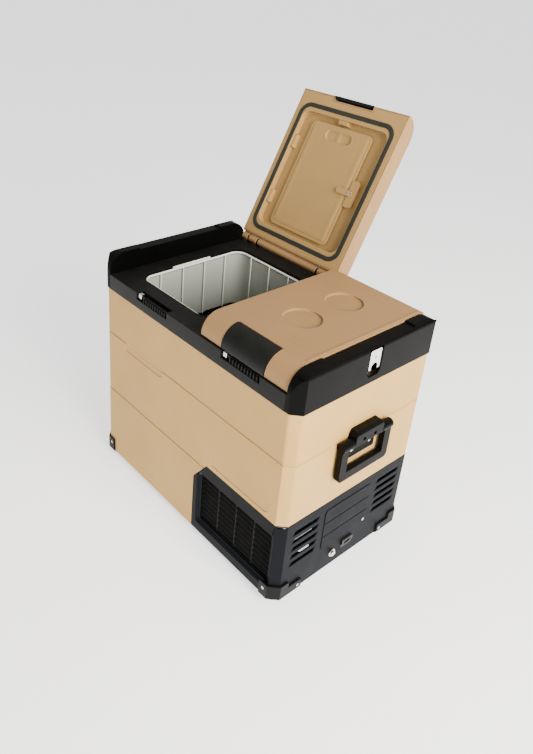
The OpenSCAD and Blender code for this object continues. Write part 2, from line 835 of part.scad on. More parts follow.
module handle_pins() {
    y0 = bracket_w / 2;
    color(STEEL) for (s = [-1, 1], m = [0, 1]) mirror([m, 0, 0])
        rod_y(bail_x, s > 0 ? [y0 - 20, bail_w / 2 - 7] : [-bail_w / 2 + 7, -y0 + 20],
              bail_z, handle_pin_d);
}
module handle_screws() {
    color(STEEL) for (m = [0, 1], y = [-handle_screw_y, handle_screw_y]) mirror([m, 0, 0])
        translate([half_l + 4.2, y, handle_screw_z]) rotate([0, 90, 0]) screw(8, 2.4);
}
module handle_bracket_left() { color(BLACK) mirror([1, 0, 0]) handle_bracket(); }
module handle_bracket_right() { color(BLACK) handle_bracket(); }
module handle_bail_left() { color(BLACK) mirror([1, 0, 0]) handle_bail(); }
module handle_bail_right() { color(BLACK) handle_bail(); }

// ---------------------------------------------------------------- lid hinges

function hinge_x(i) = [lid_x[i][0] + 40, lid_x[i][1] - 40];
module hinge_brackets() {
    color(BLACK) for (i = [0, 1], x = hinge_x(i)) difference() {
        union() for (s = [-1, 1]) {
            a = x + s * (knuckle_l / 2 + ear_gap + ear_t / 2);
            along_x([a - ear_t / 2, a + ear_t / 2]) {
                translate([hinge_y, hinge_z]) circle(knuckle_r);
                translate([hinge_y - knuckle_r, rail_z])
                    square([half_d + rim_proud - hinge_y + knuckle_r, hinge_z - rail_z]);
            }
        }
        rod_x([x - 40, x + 40], hinge_y, hinge_z, hinge_pin_d);
    }
}
module hinge_pins() {
    w = knuckle_l / 2 + ear_gap + ear_t;
    color(STEEL) for (i = [0, 1], x = hinge_x(i))
        rod_x([x - w - 1, x + w + 1], hinge_y, hinge_z, hinge_pin_d);
}

// ---------------------------------------------------------------- lids

// Side outline of a lid in Y and Z, shrunk by t
module lid_side(t) {
    r = roll_r - t;
    rb = 7 - t;
    y = lid_y[1] - t;
    z = lid_top - t;
    translate([lid_y[0] + t, lid_z]) square([r, roll_c[1] - lid_z]);
    translate([roll_c[0], lid_z]) square([y - rb - roll_c[0], z - lid_z]);
    translate([roll_c[0], lid_z]) square([y - roll_c[0], z - rb - lid_z]);
    translate([y - rb, z - rb]) circle(rb);
    intersection() {
        translate(roll_c) circle(r);
        translate([-far, lid_z]) square([far + roll_c[0] + 1, far]);
    }
}

// Space under the latch paddle, cut into the roll
module latch_well(i, side) {
    m = mid(lid_x[i]);
    along_x([m - side, m + side]) difference() {
        translate([lid_y[0] - 10, lid_z - 10])
            square([roll_c[0] + 2.5 - lid_y[0] + 10, lid_top - lid_z + 30]);
        translate(roll_c) circle(roll_r - well_t);
        translate([roll_c[0] - roll_r + well_t, lid_z - 20]) square([far, roll_c[1] - lid_z + 20]);
    }
}

module lid_shell(i) {
    x = lid_x[i];
    m = mid(x);
    well = paddle_w / 2 + paddle_gap;
    difference() {
        union() {
            difference() {
                along_x(x) lid_side(0);
                along_x([x[0] + lid_t, x[1] - lid_t]) {
                    lid_side(lid_t);
                    translate([lid_y[0] + lid_t, lid_z - 1])
                        square([lid_y[1] - lid_y[0] - 2 * lid_t, 2]);
                }
            }
            // walls of the latch well
            intersection() {
                along_x([m - well - lid_t, m + well + lid_t]) lid_side(0);
                difference() {
                    slab([m - well - lid_t, m + well + lid_t],
                         [lid_y[0], roll_c[0] + 2.5 + lid_t], [lid_z, far]);
                    along_x([m - well, m + well])
                        intersection() {
                            translate(roll_c) circle(roll_r - well_t - lid_t);
                            translate([-far, -far]) square([far + roll_c[0], 3 * far]);
                        }
                    slab([m - well - 9, m + well + 9], [roll_c[0] - roll_r + well_t + lid_t, far],
                         [0, roll_c[1]]);
                }
            }
            // barrel along the back edge, round the hinge axis
            along_x(grown(x, -4)) {
                translate([hinge_y, hinge_z]) circle(barrel_r);
                translate([lid_y[1] - 1, hinge_z - 4])
                    square([hinge_y - lid_y[1] + 1, barrel_r + 4]);
            }
            // low bead along the cap side of the lid's top
            bead = i == 1 ? [x[1] - 9, x[1] - 4] : [x[0] + 4, x[0] + 9];
            slab(bead, [roll_c[0] + 6, lid_y[1] - 8], [lid_top - 1, lid_top + 0.8]);
        }
        latch_well(i, well);
        rod_x([m - well - 8, m + well + 8], latch_c[0], latch_c[1], latch_pin_d);
        // slots in the barrel for the brackets' ears, and bores for the pins
        for (hx = hinge_x(i), s = [-1, 1]) {
            a = hx + s * (knuckle_l + ear_t + 2 * ear_gap) / 2;
            slab([a - ear_t / 2 - ear_gap, a + ear_t / 2 + ear_gap], [lid_y[1], far], [0, far]);
        }
        for (hx = hinge_x(i)) rod_x([hx - 30, hx + 30], hinge_y, hinge_z, hinge_pin_d + 2 * hinge_play);
        if (i == 1) cups(0);
    }
    if (i == 1) cup_floors();
}
cup_t = 4;
module cups(grow) {
    for (y = cup_y)
        translate([mid(lid_x[1]), y, lid_top - cup_t - grow]) cylinder(d = cup_d + 2 * grow, h = 30);
}
cup_y = [-42, cup_pitch - 42];
module cup_floors() {
    for (y = cup_y) translate([mid(lid_x[1]), y, 0]) difference() {
        translate([0, 0, lid_top - cup_t - 2]) cylinder(d = cup_d + 4, h = cup_t);
        translate([0, 0, lid_top - cup_t]) cylinder(d = cup_d, h = 30);
    }
}

// Inner panel: flat flange, gasket groove and a sunk tray
module tray_space(i, z_up, grow) {
    slab(grown(open_x[i], tray_out[0] + grow), grown(open_y, tray_out[1] + grow),
         [lid_z - 1, z_up + grow], liner_r - 8 + grow);
}
module store_space(grow) {
    slab(grown(door_x, -9 + grow), grown(door_y, -9 + grow),
         [lid_z, lid_z + tray_up + store_up + grow], 12 + grow);
}
module panel_edge(i) {
    in = lid_t + 0.3;
    slab(grown(lid_x[i], -in), grown(lid_y, -in), [lid_z, lid_z + tray_t]);
}
module lid_liner(i) {
    m = mid(lid_x[i]);
    well = paddle_w / 2 + paddle_gap + lid_t + 0.3;
    difference() {
        union() {
            panel_edge(i);
            intersection() {
                tray_space(i, lid_z + tray_up, tray_t);
                slab([-far, far], [-far, far], [lid_z, far]);
            }
            if (i == 0) store_space(tray_t);
        }
        tray_space(i, lid_z + tray_up, 0);
        if (i == 0) store_space(0);
        slab([m - well, m + well], [-far, roll_c[0] - roll_r + well_t + lid_t + 0.3], [0, far]);
        gasket_ring(i, [lid_z - 1, lid_z + 0.9]);
    }
    // pad that the turn latch is screwed to, the catch block and the door's two side lugs
    if (i == 0) {
        difference() {
            slab([turn_at[0] - 6, turn_at[0] + 14], [turn_at[1] - 31, turn_at[1] + 31],
                 [door_z - 2, lid_z + tray_up + 1], 6);
            translate([turn_at[0], turn_at[1], 0]) cylinder(d = turn_screw_d, h = lid_z + tray_up);
        }
        slab([mid(door_x) - 14, mid(door_x) + 14],
             [open_y[0] - tray_out[1] - 1, open_y[0] - tray_out[1] + 10],
             [lid_z + 2, lid_z + tray_up + 1]);
        for (y = [door_y[0] + 46, door_y[1] - 74])
            slab([open_x[0][0] - tray_out[0] - 1, open_x[0][0] - tray_out[0] + 9], [y, y + 32],
                 [lid_z + 3, lid_z + tray_up + 1]);
    }
}
module gasket_ring(i, z) {
    difference() {
        slab(grown(open_x[i], seal_out[0]), grown(open_y, seal_out[1]), z, liner_r);
        slab(grown(open_x[i], seal_out[0] - seal_w), grown(open_y, seal_out[1] - seal_w),
             [z[0] - 1, z[1] + 1], liner_r - seal_w);
    }
}
module lid_gasket(i) {
    gasket_ring(i, [rail_z + 0.3, rail_z + 0.3 + seal_h - 0.35]);
}
module lid_foam(i) {
    x = lid_x[i];
    m = mid(x);
    well = paddle_w / 2 + paddle_gap + lid_t + 0.2;
    difference() {
        along_x(grown(x, -lid_t)) intersection() {
            lid_side(lid_t);
            translate([-far, lid_z + tray_t]) square([2 * far, far]);
        }
        tray_space(i, lid_z + tray_up, tray_t);
        if (i == 0) store_space(tray_t);
        if (i == 1) cups(3);
        slab([m - well, m + well], [-far, roll_c[0] + 2.5 + lid_t + 0.2], [0, far]);
    }
}

// Storage door in the left lid, with a raised field and an oval finger grip
module storage_door() {
    color(TAN_INNER) opened() difference() {
        union() {
            slab(door_x, door_y, [door_z, door_z + door_t], 14);
            slab(grown(door_x, -8), grown(door_y, -8), [door_z - 1.2, door_z + 1], 10);
        }
        slab([mid(door_x) - 38, mid(door_x) + 38], [door_y[0] + 12, door_y[0] + 36],
             [door_z - 5, door_z + 1.4], 11.9);
        for (y = [door_y[0] + 46, door_y[1] - 74])
            slab([door_x[0] - 1, door_x[0] + 0.5], [y, y + 32], [0, far]);
    }
}

module turn_latch() {
    z = door_z - 2.4 - turn_t;
    color(TAN_INNER) opened() difference() {
        tab_plate(z);
        translate([turn_at[0], turn_at[1], z - 5]) cylinder(d = turn_screw_d + 0.1, h = 20);
        translate([turn_at[0], turn_at[1], z - 5]) cylinder(d = 9, h = 6.4);
    }
}
module tab_plate(z) {
    slab([turn_at[0] - turn_l, turn_at[0] + turn_w / 2], [turn_at[1] - turn_w / 2, turn_at[1] + turn_w / 2],
         [z, z + turn_t], turn_w / 2 - 0.05);
}
module turn_latch_screw() {
    z = door_z - 2.4 - turn_t;
    color(STEEL) opened() translate([turn_at[0], turn_at[1], 0]) {
        translate([0, 0, z - 0.6]) cylinder(d = 8, h = 1.8);
        translate([0, 0, z + 1]) cylinder(d = turn_screw_d, h = turn_t + 5);
    }
}

// Latch paddle: a curved plate over the roll, with pivot lugs and a hook bar
module latch_paddle(i) {
    m = mid(lid_x[i]);
    r1 = roll_r + paddle_proud;
    r0 = r1 - paddle_t;
    difference() {
        union() {
            along_x([m - paddle_w / 2, m + paddle_w / 2]) {
                difference() {
                    translate(roll_c) circle(r1);
                    translate(roll_c) circle(r0);
                    translate([roll_c[0], -far]) square([far, 2 * far]);
                    translate([-far, -far]) square([2 * far, far + roll_c[1]]);
                }
                translate([roll_c[0] - r1, lid_z - 0.4]) square([paddle_t, roll_c[1] - lid_z + 0.5]);
            }
            // lugs round the pin
            for (s = [-1, 1]) along_x([m + s * 40 - 5, m + s * 40 + 5]) {
                translate(latch_c) circle(latch_pin_d / 2 + 2.4);
                intersection() {
                    translate([latch_c[0] - 12, latch_c[1] - 3]) square([12, 7]);
                    translate(roll_c) circle(r0 + 1);
                }
            }
            // hook bar and its two teeth at the lower edge
            slab([m - paddle_w / 2 + 8, m + paddle_w / 2 - 8],
                 [roll_c[0] - r1 + 1, roll_c[0] - r1 + 7], [lid_z - 0.4, lid_z + 4]);
            for (s = [-1, 1])
                slab([m + s * 30 - 6, m + s * 30 + 6], [roll_c[0] - r1 + 1, roll_c[0] - r1 + 3.2],
                     [lid_z - 1.6, lid_z + 4]);
        }
        rod_x([m - far, m + far], latch_c[0], latch_c[1], latch_pin_d + 0.1);
    }
}
module latch_pin(i) {
    m = mid(lid_x[i]);
    w = paddle_w / 2 + paddle_gap + lid_t - 0.5;
    rod_x([m - w, m + w], latch_c[0], latch_c[1], latch_pin_d);
}

module lid_shell_left() { color(TAN_LID) opened() lid_shell(0); }
module lid_liner_left() { color(TAN_INNER) opened() lid_liner(0); }
module lid_gasket_left() { color(RUBBER) opened() lid_gasket(0); }
module lid_foam_left() { color(FOAM) opened() lid_foam(0); }
module latch_paddle_left() { color(BLACK) opened() latch_paddle(0); }
module latch_pin_left() { color(STEEL) opened() latch_pin(0); }
module lid_shell_right() { color(TAN_LID) lid_shell(1); }
module lid_liner_right() { color(TAN_INNER) lid_liner(1); }
module lid_gasket_right() { color(RUBBER) lid_gasket(1); }
module lid_foam_right() { color(FOAM) lid_foam(1); }
module latch_paddle_right() { color(BLACK) latch_paddle(1); }
module latch_pin_right() { color(STEEL) latch_pin(1); }

// ---------------------------------------------------------------- cooling machine

comp_at = [half_l - 110, 70, base_z + pan_t + 12];
comp_h = 96;
module compressor() {
    color(BLACK) translate(comp_at) {
        cylinder(r = compressor_r, h = comp_h);
        translate([0, 0, comp_h]) intersection() {
            translate([0, 0, -compressor_r * 0.75]) sphere(compressor_r * 1.25);
            cylinder(r = compressor_r, h = compressor_r);
        }
        for (a = [45:90:315]) rotate([0, 0, a]) translate([compressor_r - 8, -9, 0])
            cube([24, 18, 3]);
    }
    color(COPPER) for (a = [200, 230])
        translate(comp_at) rotate([0, 0, a]) translate([compressor_r - 4, 0, comp_h * 0.6])
            rotate([0, 90, 0]) cylinder(d = 7, h = 26);
}
module compressor_mounts() {
    color(RUBBER) translate([comp_at[0], comp_at[1], base_z + pan_t])
        for (a = [45:90:315]) rotate([0, 0, a]) translate([compressor_r + 8, 0, 0])
            cylinder(d = 16, h = 12);
}

cond_x = [fan_at[0] - 62, fan_at[0] + 78];
cond_y = [-half_d + 24, -half_d + 54];
cond_z = [base_z + pan_t + 6, base_z + pan_t + 140];
module condenser() {
    color(STEEL) {
        for (x = cond_x) slab([x - 1, x + 1], cond_y, [base_z + pan_t, cond_z[1]]);
        n = 22;
        for (k = [1:n - 1]) {
            x = cond_x[0] + k * (cond_x[1] - cond_x[0]) / n;
            slab([x - 0.3, x + 0.3], cond_y, cond_z);
        }
        for (k = [0:4], y = [cond_y[0] + 8, cond_y[1] - 8])
            rod_x([cond_x[0] - 8, cond_x[1] + 8], y, cond_z[0] + 14 + k * 26, 8);
    }
}
module fan_shroud() {
    s = fan_r + 7;
    y = [cond_y[1] + 1, cond_y[1] + 26];
    color(BLACK) {
        difference() {
            along_y(y) rounded(grown([fan_at[0], fan_at[0]], s), grown([fan_at[2], fan_at[2]], s), 6);
            rod_y(fan_at[0], grown(y, 2), fan_at[2], 2 * fan_r + 5);
        }
        // four spokes at the back carry the motor
        for (a = [0, 90]) translate([fan_at[0], y[1] - 3, fan_at[2]]) rotate([0, a, 0])
            slab([-fan_r - 4, -16], [0, 3], [-3, 3]);
        for (a = [180, 270]) translate([fan_at[0], y[1] - 3, fan_at[2]]) rotate([0, a, 0])
            slab([-fan_r - 4, -16], [0, 3], [-3, 3]);
        difference() {
            rod_y(fan_at[0], [y[1] - 3, y[1]], fan_at[2], 34);
            rod_y(fan_at[0], [y[1] - 9, y[1] + 1], fan_at[2], 26);
        }
        slab([fan_at[0] - 20, fan_at[0] + 20], y, [base_z + pan_t, fan_at[2] - s + 1]);
    }
}
module fan_motor() {
    color(SLATE) {
        rod_y(fan_at[0], [cond_y[1] + 16, cond_y[1] + 36], fan_at[2], 26);
        rod_y(fan_at[0], [cond_y[1] + 3, cond_y[1] + 17], fan_at[2], 4);
    }
}
module fan_impeller() {
    y = [cond_y[1] + 3, cond_y[1] + 14];
    color(SLATE) difference() {
        union() {
            rod_y(fan_at[0], y, fan_at[2], 24);
            for (k = [0:fan_blades - 1])
                translate([fan_at[0], mid(y), fan_at[2]]) rotate([0, k * 360 / fan_blades, 0])
                    translate([10, 0, 0]) rotate([35, 0, 0])
                        translate([0, -6, -0.8]) cube([fan_r - 12, 12, 1.6]);
        }
        rod_y(fan_at[0], grown(y, 5), fan_at[2], 4.1);
    }
}
module control_board() {
    x = half_l - shell_t - 30;
    color([0.10, 0.35, 0.20])
        slab([x, x + 1.6], [-60, 0], [base_z + 70, base_z + 160]);
    color(BLACK) {
        slab([x - 10, x], [-52, -30], [base_z + 80, base_z + 102]);
        slab([x - 14, x], [-24, -8], [base_z + 110, base_z + 150]);
        for (y = [-56, -4])
            slab([x - 4, x + 6], [y - 3, y + 3], [base_z + pan_t, base_z + 72]);
    }
}

// ---------------------------------------------------------------- nodes

cabinet_shell();
bay_bulkhead();
base_pan();
insulation_foam();
top_rim();
end_cap_left();
end_cap_right();
liner_left();
liner_right();
evaporator_tubes();
light_lenses();
basket_left();
basket_right();
compressor_housing();
grille_front();
grille_back();
service_cover();
housing_screws();
power_socket();
fuse_holder();
corner_guard_front_left();
corner_guard_front_right();
corner_guard_back_left();
corner_guard_back_right();
guard_screws();
rubber_feet();
striker_rods();
bottle_opener();
opener_screw();
handle_bracket_left();
handle_bracket_right();
handle_bail_left();
handle_bail_right();
handle_pins();
handle_screws();
hinge_brackets();
hinge_pins();
lid_shell_left();
lid_liner_left();
lid_gasket_left();
lid_foam_left();
storage_door();
turn_latch();
turn_latch_screw();
latch_paddle_left();
latch_pin_left();
lid_shell_right();
lid_liner_right();
lid_gasket_right();
lid_foam_right();
latch_paddle_right();
latch_pin_right();
compressor();
compressor_mounts();
condenser();
fan_shroud();
fan_motor();
fan_impeller();
control_board();
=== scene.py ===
import math

import bmesh
import bpy
from mathutils import Matrix, Vector


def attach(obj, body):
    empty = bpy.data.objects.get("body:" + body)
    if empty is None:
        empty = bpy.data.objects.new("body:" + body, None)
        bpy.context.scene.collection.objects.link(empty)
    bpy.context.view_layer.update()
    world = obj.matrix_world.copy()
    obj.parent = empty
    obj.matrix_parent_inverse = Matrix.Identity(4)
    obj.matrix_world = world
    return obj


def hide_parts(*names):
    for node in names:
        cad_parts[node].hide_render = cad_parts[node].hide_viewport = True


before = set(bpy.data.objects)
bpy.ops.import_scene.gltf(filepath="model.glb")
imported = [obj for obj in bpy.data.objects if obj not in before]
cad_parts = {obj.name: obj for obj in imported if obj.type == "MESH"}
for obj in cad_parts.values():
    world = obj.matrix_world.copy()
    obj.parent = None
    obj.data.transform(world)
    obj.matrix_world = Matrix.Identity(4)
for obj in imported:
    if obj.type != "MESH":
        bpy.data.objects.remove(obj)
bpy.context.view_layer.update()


# ------------------------------------------------------------------ camera
# A short telephoto lens stands off the front right corner, above the lids, and looks down.
# The shift keeps the uprights leaning as little as they do from there.

camera_data = bpy.data.cameras.new("studio_camera")
camera_data.sensor_width = 36
camera_data.lens = 33.967
camera_data.shift_x = 0.0516
camera_data.shift_y = -0.1082
camera_data.dof.use_dof = False
camera = bpy.data.objects.new("studio_camera", camera_data)
eye = Vector((0.9252, -0.9284, 1.1759))
look_right = Vector((0.64454, 0.76205, 0.06208))
look_up = Vector((-0.38567, 0.25394, 0.88700))
look_back = look_right.cross(look_up)
camera.matrix_world = Matrix.Translation(eye) @ Matrix((look_right, look_up, look_back)).transposed().to_4x4()
bpy.context.scene.collection.objects.link(camera)
bpy.context.scene.camera = camera


# ------------------------------------------------------------------ floor and lights
# A wide pale table in a bright room. One big soft window stands at the machine end,
# a weaker one over the lids and a warm one in front of the long side. The table glows faintly.


def wire(tree, kind, inputs=None, **settings):
    """A node with its settings. Its inputs are values, sockets to link, or nodes whose first
    output is linked."""
    node = tree.nodes.new(kind)
    for key, value in settings.items():
        setattr(node, key, value)
    for key, value in (inputs or {}).items():
        if isinstance(value, bpy.types.Node):
            value = value.outputs[0]
        if isinstance(value, bpy.types.NodeSocket):
            tree.links.new(value, node.inputs[key])
        else:
            node.inputs[key].default_value = value
    return node


def new_material(name):
    """An empty node material and its tree, with the output node placed."""
    made = bpy.data.materials.new(name)
    made.use_nodes = True
    made.node_tree.nodes.clear()
    return made, made.node_tree


def coated(tree, inputs):
    """A Principled surface with these inputs on the material's output."""
    wire(tree, "ShaderNodeOutputMaterial", {"Surface": wire(tree, "ShaderNodeBsdfPrincipled", inputs)})


floor_size = 60
half = floor_size / 2
floor_mesh = bpy.data.meshes.new("floor")
floor_mesh.from_pydata(
    [(-half, -half, 0), (half, -half, 0), (half, half, 0), (-half, half, 0)], [], [(0, 1, 2, 3)])
floor = bpy.data.objects.new("floor", floor_mesh)
bpy.context.scene.collection.objects.link(floor)
floor_material, tree = new_material("pale_table")
place = wire(tree, "ShaderNodeTexCoord")
cloud = wire(tree, "ShaderNodeTexNoise", {"Vector": place.outputs["Object"], "Scale": 3.0})
shade = wire(tree, "ShaderNodeMix", {
    "Factor": cloud.outputs["Fac"], "A": (0.93, 0.93, 0.93, 1), "B": (0.96, 0.96, 0.96, 1)}, data_type="RGBA")
coated(tree, {
    "Base Color": shade.outputs["Result"], "Roughness": 0.9, "Emission Color": shade.outputs["Result"],
    "Emission Strength": 1.35})
floor_mesh.materials.append(floor_material)

room = bpy.data.worlds.new("bright_room")
room.use_nodes = True
room.node_tree.nodes["Background"].inputs["Color"].default_value = (1.0, 0.99, 0.97, 1)
room.node_tree.nodes["Background"].inputs["Strength"].default_value = 0.56
bpy.context.scene.world = room

for name, at, size, watts, tint in (
        ("window_end", (2.6, -0.3, 1.6), 1.6, 235, (1.0, 0.965, 0.90)),
        ("window_top", (-0.4, 0.2, 2.8), 1.6, 8, (1.0, 0.98, 0.96)),
        ("window_front", (-0.9, -2.8, 0.9), 1.8, 3, (1.0, 0.90, 0.74))):
    panel = bpy.data.lights.new(name, "AREA")
    panel.size = size
    panel.energy = watts
    panel.color = tint
    lamp = bpy.data.objects.new(name, panel)
    lamp.location = at
    lamp.rotation_euler = (Vector((0, 0, 0.3)) - Vector(at)).to_track_quat("-Z", "Y").to_euler()
    lamp.visible_glossy = name != "window_end"
    bpy.context.scene.collection.objects.link(lamp)


# ------------------------------------------------------------------ cabinet shell
# One injection-moulded box of tan polypropylene with a fine spark-eroded texture.
# Pressed grooves and long shallow dishes stiffen it, and its foot screws to the base pan.


def new_group(name, inputs, outputs):
    """A shader group, and its input and output nodes; inputs are name to default value."""
    group = bpy.data.node_groups.new(name, "ShaderNodeTree")
    kinds = {4: "NodeSocketColor", 3: "NodeSocketVector"}
    for key, value in inputs.items():
        kind = kinds[len(value)] if isinstance(value, tuple) else "NodeSocketFloat"
        group.interface.new_socket(key, in_out="INPUT", socket_type=kind).default_value = value
    for key, kind in outputs.items():
        group.interface.new_socket(key, in_out="OUTPUT", socket_type=kind)
    return group, group.nodes.new("NodeGroupInput"), group.nodes.new("NodeGroupOutput")


def calc(tree, operation, *values, clamp=False):
    return wire(tree, "ShaderNodeMath", dict(enumerate(values)), operation=operation, use_clamp=clamp).outputs[0]


def mixed(tree, factor, a, b):
    return wire(tree, "ShaderNodeMix", {"Factor": factor, "A": a, "B": b}, data_type="RGBA").outputs["Result"]


def scaled_place(tree, size):
    """Object coordinates divided by a length in metres, so that one unit is that length."""
    at = wire(tree, "ShaderNodeTexCoord").outputs["Object"]
    scale = calc(tree, "DIVIDE", 1.0, size)
    return wire(tree, "ShaderNodeVectorMath", {0: at, "Scale": scale}, operation="SCALE").outputs[0]


def noise(tree, size, detail, scale=1.0, **more):
    """A noise whose clouds are about size metres across."""
    return wire(tree, "ShaderNodeTexNoise", {
        "Vector": scaled_place(tree, size), "Scale": scale, "Detail": detail, **more}).outputs["Fac"]


def bumped(tree, height, distance):
    return wire(tree, "ShaderNodeBump", {"Height": height, "Distance": distance})


# Spark-eroded mould texture: small rounded pits of two sizes
mould_grain, given, out = new_group(
    "mould_grain", {"Pit Size": 0.001, "Roughness": 0.5, "Roughness Spread": 0.12},
    {"Height": "NodeSocketFloat", "Roughness": "NodeSocketFloat"})
coarse = wire(mould_grain, "ShaderNodeTexVoronoi", {
    "Vector": scaled_place(mould_grain, given.outputs["Pit Size"]), "Scale": 1.0, "Randomness": 1.0},
    feature="SMOOTH_F1")
fine = noise(mould_grain, given.outputs["Pit Size"], 3.0, scale=2.3)
pits = calc(mould_grain, "ADD", calc(mould_grain, "MULTIPLY", coarse.outputs["Distance"], 0.6),
            calc(mould_grain, "MULTIPLY", fine, 0.6))
slow = noise(mould_grain, 0.05, 2.0)
spread = calc(mould_grain, "MULTIPLY", calc(mould_grain, "SUBTRACT", slow, 0.5),
              given.outputs["Roughness Spread"])
mould_grain.links.new(pits, out.inputs["Height"])
mould_grain.links.new(calc(mould_grain, "ADD", given.outputs["Roughness"], spread, clamp=True),
                      out.inputs["Roughness"])

# Uneven pigment: slow clouds and tiny specks between two close colours
pigment, given, out = new_group(
    "pigment", {"Colour": (0.5, 0.5, 0.5, 1), "Second Colour": (0.4, 0.4, 0.4, 1), "Cloud Size": 0.12,
                "Speck Size": 0.0012},
    {"Colour": "NodeSocketColor"})
clouds = noise(pigment, given.outputs["Cloud Size"], 4.0)
specks = noise(pigment, given.outputs["Speck Size"], 2.0)
share = calc(pigment, "ADD", calc(pigment, "MULTIPLY", clouds, 0.75),
             calc(pigment, "MULTIPLY", specks, 0.35))
share = calc(pigment, "MULTIPLY_ADD", share, 2.2, -0.7, clamp=True)
pigment.links.new(mixed(pigment, share, given.outputs["Colour"], given.outputs["Second Colour"]),
                  out.inputs["Colour"])

# Rubbed edges: convex creases polished by handling, broken up by noise
edge_rub, given, out = new_group(
    "edge_rub", {"Colour": (0.5, 0.5, 0.5, 1), "Rubbed Colour": (0.7, 0.7, 0.7, 1), "Amount": 0.4},
    {"Colour": "NodeSocketColor", "Mask": "NodeSocketFloat"})
sharpness = wire(edge_rub, "ShaderNodeNewGeometry").outputs["Pointiness"]
patches = noise(edge_rub, 0.02, 5.0)
ridge = calc(edge_rub, "MULTIPLY_ADD", sharpness, 8.0, -4.6, clamp=True)
mask = calc(edge_rub, "MULTIPLY", calc(edge_rub, "MULTIPLY", ridge, patches),
            given.outputs["Amount"], clamp=True)
edge_rub.links.new(mixed(edge_rub, mask, given.outputs["Colour"], given.outputs["Rubbed Colour"]),
                   out.inputs["Colour"])
edge_rub.links.new(mask, out.inputs["Mask"])

# Dust that settles on faces that look up, thicker in patches
settled_dust, given, out = new_group(
    "settled_dust", {"Colour": (0.5, 0.5, 0.5, 1), "Dust Colour": (0.5, 0.45, 0.38, 1), "Amount": 0.1},
    {"Colour": "NodeSocketColor", "Mask": "NodeSocketFloat"})
facing = wire(settled_dust, "ShaderNodeSeparateXYZ", {
    "Vector": wire(settled_dust, "ShaderNodeNewGeometry").outputs["Normal"]}).outputs["Z"]
drift = noise(settled_dust, 0.03, 6.0)
upward = calc(settled_dust, "MULTIPLY_ADD", facing, 1.2, -0.2, clamp=True)
mask = calc(settled_dust, "MULTIPLY", calc(settled_dust, "MULTIPLY", upward, drift),
            given.outputs["Amount"], clamp=True)
settled_dust.links.new(mixed(settled_dust, mask, given.outputs["Colour"], given.outputs["Dust Colour"]),
                       out.inputs["Colour"])
settled_dust.links.new(mask, out.inputs["Mask"])


def group_node(tree, group, inputs):
    return wire(tree, "ShaderNodeGroup", inputs, node_tree=group)


def plastic(name, colour, second, rough, pit=0.0011, depth=0.00012, rub=0.35, rubbed=(0.6, 0.5, 0.4),
            dust=0.08, spread=0.15, coat=0.0, level=0.2):
    """Moulded plastic: uneven pigment, rubbed edges, settled dust and the mould's grain."""
    made, tree = new_material(name)
    tone = group_node(tree, pigment, {"Colour": (*colour, 1), "Second Colour": (*second, 1)})
    worn = group_node(tree, edge_rub, {
        "Colour": tone, "Rubbed Colour": (*rubbed, 1), "Amount": rub})
    dusty = group_node(tree, settled_dust, {"Colour": worn, "Amount": dust})
    grain = group_node(tree, mould_grain, {"Pit Size": pit, "Roughness": rough, "Roughness Spread": spread})
    gloss = calc(tree, "MULTIPLY_ADD", worn.outputs["Mask"], -0.12, grain.outputs["Roughness"], clamp=True)
    coated(tree, {
        "Base Color": dusty, "Roughness": gloss, "Normal": bumped(tree, grain.outputs["Height"], depth),
        "Coat Weight": coat, "Coat Roughness": 0.2, "Specular IOR Level": level})
    return made


def linked(name, mesh):
    """A new object with this mesh, in the scene."""
    made = bpy.data.objects.new(name, mesh)
    bpy.context.scene.collection.objects.link(made)
    return made


def settled(made):
    """The object's modifiers made real, as one plain mesh."""
    graph = bpy.context.evaluated_depsgraph_get()
    mesh = bpy.data.meshes.new_from_object(made.evaluated_get(graph))
    made.modifiers.clear()
    made.data = mesh
    mesh.name = made.name
    return made


def smoothed(made, crease=34):
    """Smooth shading that keeps real corners and holds the large faces flat."""
    made.data.shade_smooth()
    made.data.set_sharp_from_angle(angle=math.radians(crease))
    lean = made.modifiers.new("flat_faces", "WEIGHTED_NORMAL")
    lean.keep_sharp = True
    return settled(made)


def moulding(name, node, material, radius=0.0008, widest=0.004, steps=2, crease=24, broad=False):
    """A clean copy of a CAD node with rounded creases. radius is a length, or a function that gives
    one from a crease's middle and its direction; short neighbouring edges make it smaller. broad
    keeps each flat area one face, so that nothing shades unevenly round a hole in it."""
    shape = bmesh.new()
    shape.from_mesh(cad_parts[node].data)
    bmesh.ops.remove_doubles(shape, verts=shape.verts, dist=1e-5)
    bmesh.ops.dissolve_degenerate(shape, edges=shape.edges, dist=1e-5)
    bmesh.ops.dissolve_limit(shape, angle_limit=math.radians(0.5), verts=shape.verts, edges=shape.edges)
    if not broad:
        bmesh.ops.triangulate(shape, faces=[face for face in shape.faces if len(face.verts) > 4])
    weight = shape.edges.layers.float.new("bevel_weight_edge")
    for edge in shape.edges:
        wide_enough = len(edge.link_faces) == 2 and min(face.calc_area() for face in edge.link_faces) > 2e-8
        if wide_enough and edge.calc_face_angle(0.0) > math.radians(crease):
            ends = [v.co for v in edge.verts]
            wanted = radius if isinstance(radius, float) else radius(
                (ends[0] + ends[1]) / 2, (ends[1] - ends[0]).normalized())
            room = min(other.calc_length() for v in edge.verts for other in v.link_edges if other is not edge)
            edge[weight] = min(wanted, 0.4 * room, 0.45 * edge.calc_length()) / widest
    mesh = bpy.data.meshes.new(name)
    shape.to_mesh(mesh)
    shape.free()
    mesh.materials.clear()
    mesh.materials.append(material)
    made = linked(name, mesh)
    soft = made.modifiers.new("rounded_creases", "BEVEL")
    soft.limit_method = "WEIGHT"
    soft.width = widest
    soft.segments = steps
    soft.use_clamp_overlap = False
    return smoothed(settled(made))


def mount(made, body, slot, *nodes):
    """Puts a piece on its body, in place of the CAD nodes that it draws."""
    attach(made, body)
    if nodes:
        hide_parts(*nodes)
    return made


